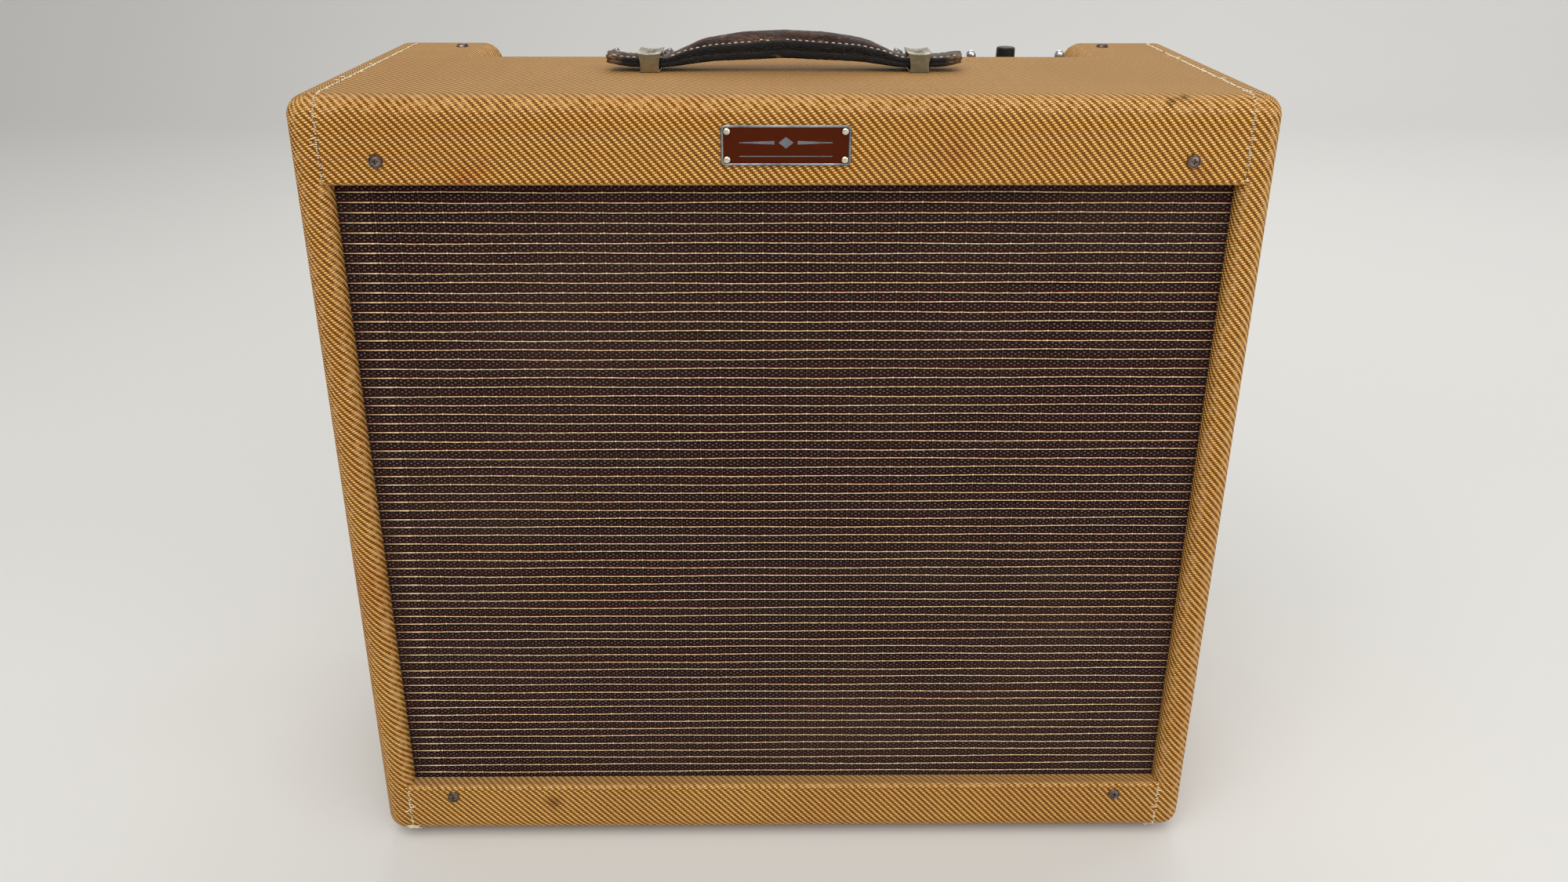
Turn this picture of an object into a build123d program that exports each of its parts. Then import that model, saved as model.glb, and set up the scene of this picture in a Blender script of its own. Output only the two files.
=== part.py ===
"""A tweed-covered combo guitar amplifier with one 15 inch loudspeaker, as the separate pieces it is made of.

Millimetres. +X is to the right for someone facing the grille, +Y runs from the grille to the back, +Z is up.
The origin is on the floor under the middle of the cabinet. The front leans back, so whatever is fixed to it
is placed by front_at(depth), a plane whose own x is across the front and whose own y runs up its slope.
"""

from build123d import *
import math
import os

# Cabinet
WIDTH = 559.0
HEIGHT = 508.0
DEPTH_AT_BASE = 254.0
DEPTH_AT_TOP = 229.0
EDGE_RADIUS = 12.7
SKIN = 1.0
BOARD = 19.0
FOOT_HEIGHT = 6.0
FINGER = 20.0

# Front
PANEL_PLY = 9.5
WINDOW_HALF_WIDTH = 258.5
WINDOW_LOW = 41.5
WINDOW_HIGH = 459.0
SIDE_LIP_RADIUS = 8.0
PANEL_LIP_RADIUS = 3.0
SEAM_X = 260.5
CLOTH = 1.0
BAFFLE = 12.7
BAFFLE_GAP = 2.0
CLOTH_FOLD = 12.0

# Rear opening and the notch over the control panel
REAR_LINER = 25.0
NOTCH_HALF_WIDTH = 202.0
NOTCH_LENGTH = 68.0
BACK_INSET = 3.0
BACK_PLY = 9.5
UPPER_BACK_HEIGHT = 172.0
LOWER_BACK_HEIGHT = 127.0
BACK_GAP = 2.0
CLEAT = 19.0

# Chassis and controls, as distances from the middle
CHASSIS_LENGTH = 470.0
CHASSIS_DEPTH = 70.0
CHASSIS_HEIGHT = 70.0
SHEET = 1.5
CONTROL_Y = 91.0
JACK_X = (-186.0, -163.0, -140.0)
KNOB_X = {"volume_one": -117.5, "volume_two": -80.0, "treble": -43.0, "bass": 38.0, "presence": 80.0}
LAMP_X = -5.5
STANDBY_X = 136.0
FUSE_X = 156.0
POWER_X = 190.0
BUSHING_R = 4.7
TOGGLE_BUSHING_R = 5.9
PANEL_NUT_HEIGHT = 2.4
LOOSE = 0.1

# Loudspeaker
SPEAKER_UP = 240.0
BAFFLE_HOLE_R = 176.0
BASKET_R = 192.0
GASKET = 3.0
FLANGE = 1.5
SPEAKER_DEPTH = 150.0

# Handle
CLIP_X = 82.6
CLIP_Y = -8.0
CLIP_HALF_WIDTH = 6.2
CLIP_WAIST = 5.7
CLIP_FLARE = 7.4
CLIP_HALF_DEPTH = 13.0
CLIP_HEIGHT = 12.0
CLIP_DISH = 1.0
CLIP_METAL = 1.1
TUNNEL_HEIGHT = 8.8
STRAP_HALF_WIDTH = 11.3
STRAP_UNDERSIDE = ((110.0, 5.5), (98.0, 3.0), (84.0, 2.3), (70.0, 2.6), (45.0, 6.2), (0.0, 8.1))
STRAP_END_TOP = ((110.0, 12.2), (104.0, 11.0), (96.5, 9.6), (84.0, 9.4), (70.0, 9.6))
STRAP_CROWN = ((61.0, 14.5), (50.0, 19.5), (25.0, 23.4), (0.0, 24.6))

# Nameplate
NAMEPLATE_WIDTH = 73.0
NAMEPLATE_HEIGHT = 22.7
NAMEPLATE_THICKNESS = 1.5
NAMEPLATE_FLOOR = 0.8
NAMEPLATE_RIM = 2.0
NAMEPLATE_UP = 482.0
PIN_INSET = 3.5
PIN_HOLE_R = 0.7
PIN_BOSS_R = 2.6

# Fasteners
SHANK_R = 1.75
SHANK_HOLE_R = 1.9
HEAD_R = 2.9
WASHER_R = 4.1
WASHER_HEIGHT = 1.5
BOLT_HEAD_R = 3.4
BOLT_HEAD_HEIGHT = 2.0
NUT_HEIGHT = 3.0
FRONT_SCREWS = ((-229.5, 473.0), (229.5, 473.0), (-230.0, 33.3), (230.0, 33.3))
CHASSIS_SCREW_X = 225.0
CHASSIS_SCREW_Y = 96.0
BACK_SCREW_X = 245.0
BACK_SCREW_MARGIN = 18.0
BACK_SHANK = 24.0
FOOT_X = 235.0
FOOT_Y = 95.0
SPEAKER_BOLTS = 8
BOLT_CIRCLE_R = 184.0
BOLT_LENGTH = 22.0

# Worked out from the sizes above
BASE_Z = FOOT_HEIGHT
TOP_Z = BASE_Z + HEIGHT
FRONT_Y = -DEPTH_AT_BASE / 2
REAR_Y = DEPTH_AT_BASE / 2
LEAN = math.atan2(DEPTH_AT_BASE - DEPTH_AT_TOP, HEIGHT)
WALL = BOARD + 2 * SKIN
HALF_WIDTH = WIDTH / 2
BOARD_INSIDE_X = HALF_WIDTH - SKIN - BOARD
FLOOR_Z = BASE_Z + SKIN + BOARD
CEILING_Z = TOP_Z - SKIN - BOARD
NOTCH_Y = REAR_Y - NOTCH_LENGTH
CLOTH_DEPTH = SKIN + PANEL_PLY
BAFFLE_DEPTH = CLOTH_DEPTH + CLOTH
BAFFLE_BACK = BAFFLE_DEPTH + BAFFLE
PANEL_Z = CEILING_Z - SKIN
CHASSIS_FRONT_Y = REAR_Y - BACK_INSET - BACK_PLY - SKIN - CHASSIS_DEPTH
CHASSIS_BACK_Y = CHASSIS_FRONT_Y + CHASSIS_DEPTH
CHASSIS_BOTTOM_Z = PANEL_Z - CHASSIS_HEIGHT
UNDER_PANEL_Z = PANEL_Z - SHEET
THROUGH = 80.0

# Planes on the leaning front
UP_SLOPE = Vector(0, math.sin(LEAN), math.cos(LEAN))
INWARDS = Vector(0, math.cos(LEAN), -math.sin(LEAN))
front_plane = Plane(origin=(0, FRONT_Y, BASE_Z), x_dir=(1, 0, 0), z_dir=-INWARDS)


def front_at(depth):
    """The plane that lies depth behind the cabinet's front face, facing out."""
    return front_plane.offset(-depth)


def front_y(z, depth=0.0):
    """y of the plane that lies depth behind the front face, at height z."""
    return FRONT_Y + (z - BASE_Z) * math.tan(LEAN) + depth / math.cos(LEAN)


def box_between(low, high):
    """A block given by its lowest and highest corners, for use inside or outside a part."""
    size = [b - a for a, b in zip(low, high)]
    middle = [(a + b) / 2 for a, b in zip(low, high)]
    return Pos(*middle) * Box(*size, mode=Mode.PRIVATE)


def turned(outline):
    """A piece turned about Z from a closed outline of (radius, height) points."""
    with BuildPart() as piece:
        with BuildSketch(Plane.XZ):
            with BuildLine():
                Polyline(*outline, close=True)
            make_face()
        revolve(axis=Axis.Z)
    return piece.part


def dome_arc(rim_r, rim_z, top_z):
    """An arc from the rim to the turning axis, centred on the axis, so that it spins into a smooth dome."""
    rise = top_z - rim_z
    ball = (rim_r**2 + rise**2) / (2 * rise)
    half_way = math.asin(rim_r / abs(ball)) / 2
    middle = (abs(ball) * math.sin(half_way), top_z - ball + ball * math.cos(half_way))
    return ThreePointArc((rim_r, rim_z), middle, (0, top_z))


def copies(piece, places):
    """One part holding a separate copy of piece at each place."""
    with BuildPart() as group:
        with Locations(*places):
            add(piece)
    return group.part


def drilled(piece, radius, places):
    """The piece with a round hole through it along the Z axis of each place."""
    with BuildPart() as result:
        add(piece)
        with Locations(*places):
            Cylinder(radius, THROUGH, mode=Mode.SUBTRACT)
    return result.part


def save(part, name):
    part.label = name
    export_step(part, f"parts/{name}.step")


os.makedirs("parts", exist_ok=True)

# ---- Where the fasteners go: each place is a plane whose Z leaves the surface ----

front_screw_places = [front_plane * Pos(x, up, 0) for x, up in FRONT_SCREWS]
chassis_screw_places = [Pos(x, CHASSIS_SCREW_Y, TOP_Z) for x in (-CHASSIS_SCREW_X, CHASSIS_SCREW_X)]
back_face_y = REAR_Y - BACK_INSET
back_panels = {
    "back_panel_upper": (PANEL_Z - BACK_GAP - UPPER_BACK_HEIGHT, UPPER_BACK_HEIGHT),
    "back_panel_lower": (FLOOR_Z + BACK_GAP, LOWER_BACK_HEIGHT),
}
back_screw_places = [
    Pos(x, back_face_y, z) * Rot(-90, 0, 0)
    for low, height in back_panels.values()
    for z in (low + BACK_SCREW_MARGIN, low + height - BACK_SCREW_MARGIN)
    for x in (-BACK_SCREW_X, BACK_SCREW_X)
]
clip_screw_places = [Pos(x, CLIP_Y, TOP_Z) for x in (-CLIP_X, CLIP_X)]
foot_places = [Pos(x, y, 0) for x in (-FOOT_X, FOOT_X) for y in (-FOOT_Y, FOOT_Y)]
bolt_step = 360 / SPEAKER_BOLTS
speaker_centre = front_at(BAFFLE_DEPTH) * Pos(0, SPEAKER_UP, 0)
speaker_bolt_places = [
    speaker_centre * Rot(0, 0, bolt_step * (i + 0.5)) * Pos(BOLT_CIRCLE_R, 0, 0) for i in range(SPEAKER_BOLTS)
]
pin_x = NAMEPLATE_WIDTH / 2 - PIN_INSET
pin_up = NAMEPLATE_HEIGHT / 2 - PIN_INSET
pin_positions = [(x, NAMEPLATE_UP + up) for x in (-pin_x, pin_x) for up in (-pin_up, pin_up)]
nameplate_pin_places = [front_plane * Pos(x, up, 0) for x, up in pin_positions]

# ---- Cabinet form, with and without the tweed skin ----


def flared_section(centre, half, radius, inset, depth):
    """An opening's section in (across, depth): straight walls rounded over where they meet the front."""
    wall = half + inset
    with Locations((centre, (depth - SKIN) / 2)):
        Rectangle(2 * wall, depth + SKIN)
    for side in (-1, 1):
        with Locations((centre + side * (wall + half + radius) / 2, (radius - SKIN) / 2)):
            Rectangle(half + radius - wall, radius + SKIN)
        with Locations((centre + side * (half + radius), radius)):
            Circle(radius - inset, mode=Mode.SUBTRACT)


def window_cut(inset):
    """What the front window removes, with its walls moved into the wood by inset."""
    across = Plane(origin=front_plane.origin, x_dir=(1, 0, 0), z_dir=UP_SLOPE)
    upwards = Plane(origin=front_plane.origin, x_dir=UP_SLOPE, z_dir=(-1, 0, 0))
    middle = (WINDOW_LOW + WINDOW_HIGH) / 2
    half_height = (WINDOW_HIGH - WINDOW_LOW) / 2
    with BuildPart() as cut:
        with BuildSketch(across):
            flared_section(0, WINDOW_HALF_WIDTH, SIDE_LIP_RADIUS, inset, CLOTH_DEPTH)
        extrude(amount=HEIGHT)
        with BuildSketch(upwards):
            flared_section(middle, half_height, PANEL_LIP_RADIUS, inset, CLOTH_DEPTH)
        extrude(amount=WIDTH, both=True, mode=Mode.INTERSECT)
    return cut.part


def cabinet_form(inset):
    """The covered cabinet as one solid, every outer face moved in by inset and every opening out by inset."""
    low = BASE_Z + inset
    high = TOP_Z - inset
    back = REAR_Y - inset
    notch_floor = CEILING_Z - 2 * SKIN
    with BuildPart() as form:
        with BuildSketch(Plane.YZ):
            with BuildLine():
                Polyline(
                    (front_y(low, inset), low),
                    (back, low),
                    (back, high),
                    (front_y(high, inset), high),
                    close=True,
                )
            make_face()
        extrude(amount=HALF_WIDTH - inset, both=True)
        add(
            box_between(
                (-NOTCH_HALF_WIDTH - inset, NOTCH_Y - inset, notch_floor),
                (NOTCH_HALF_WIDTH + inset, REAR_Y + SKIN, TOP_Z + SKIN),
            ),
            mode=Mode.SUBTRACT,
        )
        sharp = [
            edge
            for edge in form.edges()
            if abs(edge.center().Z - notch_floor) > SKIN
            and not (abs(edge.center().Y - NOTCH_Y + inset) < 0.1 and abs(edge.tangent_at(0.5).Z) > 0.9)
        ]
        fillet(sharp, EDGE_RADIUS - inset)
        with BuildSketch(Plane.YZ):
            with BuildLine():
                Polyline(
                    (front_y(FLOOR_Z, CLOTH_DEPTH), FLOOR_Z),
                    (REAR_Y - REAR_LINER, FLOOR_Z),
                    (REAR_Y - REAR_LINER, CEILING_Z),
                    (front_y(CEILING_Z, CLOTH_DEPTH), CEILING_Z),
                    close=True,
                )
            make_face()
        extrude(amount=BOARD_INSIDE_X, both=True, mode=Mode.SUBTRACT)
        liner = SKIN - inset
        add(
            box_between(
                (-BOARD_INSIDE_X + liner, REAR_Y - REAR_LINER - SKIN, FLOOR_Z + liner),
                (BOARD_INSIDE_X - liner, REAR_Y + SKIN, CEILING_Z - liner),
            ),
            mode=Mode.SUBTRACT,
        )
        add(window_cut(inset), mode=Mode.SUBTRACT)
    return form.part


covered = cabinet_form(0.0)
wood = cabinet_form(SKIN)

# ---- Boards: cut from the wood form, with finger joints at the four corners ----


def fingers(side, low, high):
    """Every other finger of one corner joint, as blocks through the side board's thickness."""
    first = FRONT_Y + 2 * FINGER
    inner = side * BOARD_INSIDE_X
    outer = side * HALF_WIDTH
    with BuildPart() as comb:
        for i in range(5):
            start = first + 2 * FINGER * i
            add(box_between((min(inner, outer), start, low), (max(inner, outer), start + FINGER, high)))
    return comb.part


corner_fingers = {
    "top": [fingers(side, CEILING_Z, TOP_Z) for side in (-1, 1)],
    "bottom": [fingers(side, BASE_Z, FLOOR_Z) for side in (-1, 1)],
}


def side_board(side):
    """One side board, with the fingers of the top and bottom boards cut out of it."""
    xs = sorted((side * BOARD_INSIDE_X, side * WIDTH))
    with BuildPart() as board:
        add(wood)
        add(box_between((xs[0], -WIDTH, 0), (xs[1], WIDTH, WIDTH)), mode=Mode.INTERSECT)
        add(corner_fingers["top"] + corner_fingers["bottom"], mode=Mode.SUBTRACT)
    return board.part


def flat_board(end, low, high):
    """The top or bottom board: the wood between the side boards behind the front panel, and its fingers."""
    with BuildPart() as room:
        with BuildSketch(Plane.YZ):
            with BuildLine():
                Polyline(
                    (front_y(low, CLOTH_DEPTH), low),
                    (REAR_Y, low),
                    (REAR_Y, high),
                    (front_y(high, CLOTH_DEPTH), high),
                    close=True,
                )
            make_face()
        extrude(amount=BOARD_INSIDE_X, both=True)
        add(corner_fingers[end])
    with BuildPart() as board:
        add(wood)
        add(room.part, mode=Mode.INTERSECT)
    return board.part


def front_panel(low, high):
    """One thin ply panel across the front, between the side boards."""
    with BuildPart() as panel:
        add(wood)
        with BuildSketch(front_at(CLOTH_DEPTH)):
            with Locations((0, (low + high) / 2)):
                Rectangle(2 * BOARD_INSIDE_X, high - low)
        extrude(amount=CLOTH_DEPTH, mode=Mode.INTERSECT)
    return panel.part


top_board = flat_board("top", CEILING_Z, TOP_Z)
top_board = drilled(top_board, SHANK_HOLE_R, chassis_screw_places + clip_screw_places)
bottom_board = drilled(flat_board("bottom", BASE_Z, FLOOR_Z), SHANK_HOLE_R, foot_places)
panel_upper = drilled(front_panel(WINDOW_HIGH, HEIGHT + WALL), SHANK_HOLE_R, front_screw_places)
panel_upper = drilled(panel_upper, PIN_HOLE_R, nameplate_pin_places)
panel_lower = drilled(front_panel(-WALL, WINDOW_LOW), SHANK_HOLE_R, front_screw_places)
save(side_board(-1), "side_board_left")
save(side_board(1), "side_board_right")
save(top_board, "top_board")
save(bottom_board, "bottom_board")
save(panel_upper, "front_panel_upper")
save(panel_lower, "front_panel_lower")

# ---- Tweed skin: four pieces that meet at straight seams ----

with BuildPart() as skin:
    add(covered)
    add(wood, mode=Mode.SUBTRACT)


def skin_side(side):
    """Where the side pieces of tweed lie: outside the seams, and inside the window and the rear opening."""
    seam = sorted((side * SEAM_X, side * WIDTH))
    lip = sorted((side * (WINDOW_HALF_WIDTH - SKIN), side * WIDTH))
    with BuildPart() as room:
        add(box_between((seam[0], -WIDTH, -SKIN), (seam[1], WIDTH, WIDTH)))
        with BuildSketch(front_at(2 * CLOTH_DEPTH)):
            with Locations(((lip[0] + lip[1]) / 2, (WINDOW_LOW + WINDOW_HIGH) / 2)):
                Rectangle(lip[1] - lip[0], WINDOW_HIGH - WINDOW_LOW)
        extrude(amount=3 * CLOTH_DEPTH)
        add(box_between((lip[0], 0, FLOOR_Z + SKIN), (lip[1], WIDTH, CEILING_Z - SKIN)))
    return room.part


left_room = skin_side(-1)
right_room = skin_side(1)
middle_z = (BASE_Z + TOP_Z) / 2
for name, side_room in (("tweed_left", left_room), ("tweed_right", right_room)):
    with BuildPart() as tweed_side:
        add(skin.part)
        add(side_room, mode=Mode.INTERSECT)
    save(tweed_side.part, name)

skin_hole_places = chassis_screw_places + clip_screw_places + foot_places + front_screw_places
for name, low, high in (("tweed_top", middle_z, WIDTH), ("tweed_bottom", -SKIN, middle_z)):
    with BuildPart() as tweed_flat:
        add(skin.part)
        add(box_between((-WIDTH, -WIDTH, low), (WIDTH, WIDTH, high)), mode=Mode.INTERSECT)
        add([left_room, right_room], mode=Mode.SUBTRACT)
    flat = drilled(tweed_flat.part, SHANK_HOLE_R, skin_hole_places)
    save(drilled(flat, PIN_HOLE_R, nameplate_pin_places), name)

# ---- Baffle and grille cloth ----

baffle_half_width = BOARD_INSIDE_X - BAFFLE_GAP
baffle_low = WALL + BAFFLE_GAP
baffle_high = HEIGHT - WALL - BAFFLE_GAP
baffle_middle = (baffle_low + baffle_high) / 2

with BuildPart() as baffle_board:
    with BuildSketch(front_at(BAFFLE_BACK)):
        with Locations((0, baffle_middle)):
            Rectangle(2 * baffle_half_width, baffle_high - baffle_low)
        with Locations((0, SPEAKER_UP)):
            Circle(BAFFLE_HOLE_R, mode=Mode.SUBTRACT)
    extrude(amount=BAFFLE)
    with Locations(*front_screw_places, *speaker_bolt_places):
        Cylinder(SHANK_HOLE_R, THROUGH, mode=Mode.SUBTRACT)
    with Locations(*speaker_bolt_places):
        Cylinder(BOLT_HEAD_R + LOOSE, 2 * (BOLT_HEAD_HEIGHT + LOOSE), mode=Mode.SUBTRACT)
save(baffle_board.part, "baffle_board")

with BuildPart() as grille_cloth:
    with BuildSketch(front_at(BAFFLE_BACK + CLOTH)):
        with Locations((0, baffle_middle)):
            Rectangle(2 * (baffle_half_width + CLOTH), baffle_high - baffle_low + 2 * CLOTH)
    extrude(amount=BAFFLE + 2 * CLOTH)
    with BuildSketch(front_at(BAFFLE_BACK)):
        with Locations((0, baffle_middle)):
            Rectangle(2 * baffle_half_width, baffle_high - baffle_low)
    extrude(amount=BAFFLE, mode=Mode.SUBTRACT)
    with BuildSketch(front_at(BAFFLE_BACK + 2 * CLOTH)):
        with Locations((0, baffle_middle)):
            Rectangle(2 * (baffle_half_width - CLOTH_FOLD), baffle_high - baffle_low - 2 * CLOTH_FOLD)
    extrude(amount=2 * CLOTH + BAFFLE / 2, mode=Mode.SUBTRACT)
    with Locations(*front_screw_places):
        Cylinder(SHANK_HOLE_R, THROUGH, mode=Mode.SUBTRACT)
save(grille_cloth.part, "grille_cloth")

# ---- Screws, cup washers and nuts ----


SEAT = 0.15
HEAD_RIM = 1.0
CROWN = WASHER_HEIGHT + 0.05
CROSS_LENGTH = 3.2
CROSS_WIDTH = 0.8
CROSS_DEPTH = 0.9


def oval_screw(shank_length):
    """A cross-recessed oval-head screw; its head sits in a cup washer whose underside is at height 0."""
    with BuildPart() as screw:
        with BuildSketch(Plane.XZ):
            with BuildLine():
                Polyline(
                    (0, CROWN),
                    (0, -shank_length),
                    (SHANK_R, -shank_length),
                    (SHANK_R, SEAT),
                    (HEAD_R, HEAD_RIM),
                )
                dome_arc(HEAD_R, HEAD_RIM, CROWN)
            make_face()
        revolve(axis=Axis.Z)
        with BuildSketch(Plane.XY.offset(CROWN)):
            Rectangle(CROSS_LENGTH, CROSS_WIDTH)
            Rectangle(CROSS_WIDTH, CROSS_LENGTH)
        extrude(amount=-CROSS_DEPTH, mode=Mode.SUBTRACT)
    return screw.part


cup_washer = turned(
    [
        (SHANK_HOLE_R, 0),
        (WASHER_R, 0),
        (WASHER_R, 0.35),
        (WASHER_R - 0.55, WASHER_HEIGHT),
        (WASHER_R - 0.85, WASHER_HEIGHT),
        (HEAD_R + 0.05, HEAD_RIM - 0.05),
        (SHANK_HOLE_R, SEAT - 0.05),
    ]
)
save(copies(cup_washer, front_screw_places + chassis_screw_places + back_screw_places), "cup_washers")

FRONT_SHANK = BAFFLE_BACK + CLOTH + 5
CHASSIS_SHANK = BOARD + 2 * SKIN + SHEET + 4


speaker_bolt = turned(
    [
        (0, 0),
        (0, -BOLT_LENGTH),
        (SHANK_R, -BOLT_LENGTH),
        (SHANK_R, -BOLT_HEAD_HEIGHT),
        (BOLT_HEAD_R, -BOLT_HEAD_HEIGHT),
        (BOLT_HEAD_R, -0.3),
        (BOLT_HEAD_R - 0.8, 0),
    ]
)
with BuildPart() as machine_screws:
    with Locations(*front_screw_places):
        add(oval_screw(FRONT_SHANK))
    with Locations(*chassis_screw_places):
        add(oval_screw(CHASSIS_SHANK))
    with Locations(*speaker_bolt_places):
        add(speaker_bolt)
save(machine_screws.part, "machine_screws")

clip_screw = turned(
    [
        (0, 1.9),
        (0, -14),
        (0.4, -14),
        (1.6, -11),
        (1.6, CLIP_METAL + 0.05),
        (3.3, CLIP_METAL + 0.05),
        (3.3, 1.5),
        (2.4, 1.9),
    ]
)
with BuildPart() as wood_screws:
    with Locations(*back_screw_places):
        add(oval_screw(BACK_SHANK))
    with Locations(*clip_screw_places):
        add(clip_screw)
save(wood_screws.part, "wood_screws")


def hex_nut(across_flats, bore, height):
    """A plain hexagon nut standing on height 0."""
    with BuildPart() as nut:
        with BuildSketch(Plane.XY):
            RegularPolygon(across_flats / 2, 6, major_radius=False)
            Circle(bore, mode=Mode.SUBTRACT)
        extrude(amount=height)
    return nut.part


bolt_nut = hex_nut(8, SHANK_HOLE_R, NUT_HEIGHT)
panel_nut = hex_nut(12.7, BUSHING_R + LOOSE, PANEL_NUT_HEIGHT)
toggle_nut = hex_nut(14.3, TOGGLE_BUSHING_R + LOOSE, PANEL_NUT_HEIGHT)
nut_grips = (
    (front_screw_places, BAFFLE_BACK + CLOTH),
    (chassis_screw_places, TOP_Z - UNDER_PANEL_Z),
    (speaker_bolt_places, BAFFLE + GASKET + FLANGE),
)
with BuildPart() as hex_nuts:
    for places, grip in nut_grips:
        with Locations(*[place * Pos(0, 0, -grip - NUT_HEIGHT) for place in places]):
            add(bolt_nut)
    with Locations(*[Pos(x, CONTROL_Y, PANEL_Z) for x in (*JACK_X, *KNOB_X.values())]):
        add(panel_nut)
    with Locations(*[Pos(x, CONTROL_Y, PANEL_Z) for x in (LAMP_X, STANDBY_X, FUSE_X, POWER_X)]):
        add(toggle_nut)
save(hex_nuts.part, "hex_nuts")

# ---- Nameplate ----

with BuildPart() as nameplate:
    with BuildSketch(front_plane):
        with Locations((0, NAMEPLATE_UP)):
            RectangleRounded(NAMEPLATE_WIDTH, NAMEPLATE_HEIGHT, 3)
    extrude(amount=NAMEPLATE_THICKNESS)
    with BuildSketch(front_plane.offset(NAMEPLATE_FLOOR)):
        with Locations((0, NAMEPLATE_UP)):
            RectangleRounded(NAMEPLATE_WIDTH - 2 * NAMEPLATE_RIM, NAMEPLATE_HEIGHT - 2 * NAMEPLATE_RIM, 2)
        with Locations(*pin_positions):
            Circle(PIN_BOSS_R, mode=Mode.SUBTRACT)
    extrude(amount=NAMEPLATE_THICKNESS, mode=Mode.SUBTRACT)
save(drilled(nameplate.part, PIN_HOLE_R, nameplate_pin_places), "nameplate")
pin = turned(
    [
        (0, 2.7),
        (0, -9),
        (0.6, -8),
        (0.6, NAMEPLATE_THICKNESS),
        (2.0, NAMEPLATE_THICKNESS),
        (1.8, 2.1),
        (1.1, 2.6),
    ]
)
save(copies(pin, nameplate_pin_places), "nameplate_pins")

# ---- Feet: domed metal glides on nails ----

glide = turned(
    [
        (0, 0),
        (5.5, 0),
        (8.5, 1.5),
        (9.5, 4),
        (9.5, FOOT_HEIGHT),
        (1.6, FOOT_HEIGHT),
        (1.6, 20),
        (0, 22),
    ]
)
save(copies(glide, foot_places), "feet")

# ---- Back panels and the cleats that hold them ----

panel_half_width = WINDOW_HALF_WIDTH - SKIN


def back_panel_box(low, height, inset):
    """One back panel's block, with its edges and outer face moved in by inset."""
    return box_between(
        (-panel_half_width + inset, back_face_y - SKIN - BACK_PLY, low + inset),
        (panel_half_width - inset, back_face_y - inset, low + height - inset),
    )


for name, (low, height) in back_panels.items():
    save(drilled(back_panel_box(low, height, SKIN), SHANK_HOLE_R, back_screw_places), name)

with BuildPart() as tweed_back_panels:
    for low, height in back_panels.values():
        add(back_panel_box(low, height, 0.0))
        add(back_panel_box(low, height, SKIN), mode=Mode.SUBTRACT)
save(drilled(tweed_back_panels.part, SHANK_HOLE_R, back_screw_places), "tweed_back_panels")

cleat_back_y = back_face_y - SKIN - BACK_PLY
with BuildPart() as back_cleats:
    for side in (-1, 1):
        xs = sorted((side * WINDOW_HALF_WIDTH, side * (WINDOW_HALF_WIDTH - CLEAT)))
        for low, height in back_panels.values():
            add(box_between((xs[0], cleat_back_y - CLEAT, low), (xs[1], cleat_back_y, low + height)))
save(drilled(back_cleats.part, SHANK_HOLE_R, back_screw_places), "back_cleats")

# ---- Handle: two stamped loops and a leather strap that slides in them ----

def handle_clip():
    """A stamped loop, waisted low down and flared at its dished top, with a tunnel along X for the strap."""
    with BuildPart() as clip:
        with BuildSketch(Plane.XZ):
            with BuildLine():
                base = Line((-CLIP_HALF_WIDTH, 0), (CLIP_HALF_WIDTH, 0))
                right = Spline(base @ 1, (CLIP_WAIST, 3), (CLIP_WAIST + 0.3, 7), (CLIP_FLARE, CLIP_HEIGHT))
                dish = ThreePointArc(right @ 1, (0, CLIP_HEIGHT - CLIP_DISH), (-CLIP_FLARE, CLIP_HEIGHT))
                Spline(dish @ 1, (-CLIP_WAIST - 0.3, 7), (-CLIP_WAIST, 3), base @ 0)
            make_face()
        extrude(amount=CLIP_HALF_DEPTH, both=True)
        with BuildSketch(Plane.YZ):
            with Locations((0, CLIP_METAL + TUNNEL_HEIGHT / 2)):
                RectangleRounded(2 * (CLIP_HALF_DEPTH - CLIP_METAL), TUNNEL_HEIGHT, 1.5)
        extrude(amount=2 * CLIP_HALF_WIDTH, both=True, mode=Mode.SUBTRACT)
        with Locations((0, 0, CLIP_HEIGHT)):
            Cylinder(2.3, 10, mode=Mode.SUBTRACT)
        Cylinder(SHANK_HOLE_R, 6, mode=Mode.SUBTRACT)
    return clip.part


save(copies(handle_clip(), clip_screw_places), "handle_clips")


def mirrored(knots):
    """Knots from the right end to the middle, raised to the cabinet top, then on to the left end."""
    right = [(x, TOP_Z + z) for x, z in knots]
    return [*right, *[(-x, z) for x, z in reversed(right[:-1])]]


with BuildPart() as handle_strap:
    with BuildSketch(Plane.XZ.offset(-CLIP_Y)):
        with BuildLine():
            under = Spline(*mirrored(STRAP_UNDERSIDE))
            over = Spline(*mirrored(STRAP_END_TOP + STRAP_CROWN))
            Line(under @ 0, over @ 0)
            Line(under @ 1, over @ 1)
        make_face()
    extrude(amount=STRAP_HALF_WIDTH, both=True)
save(handle_strap.part, "handle_strap")

# ---- Chassis ----

SOCKET_Y = 82.0
RECTIFIER_X = 105.0
POWER_VALVE_X = (50.0, -5.0)
PREAMP_VALVE_X = (-60.0, -100.0, -140.0)
OCTAL_X = (RECTIFIER_X, *POWER_VALVE_X)
OCTAL_HOLE_R = 14.0
MINIATURE_HOLE_R = 9.5
CORD_X = 125.0
CABLE_X = -30.0
GROMMET_Y = 104.0
GROMMET_HOLE_R = 6.0

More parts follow.
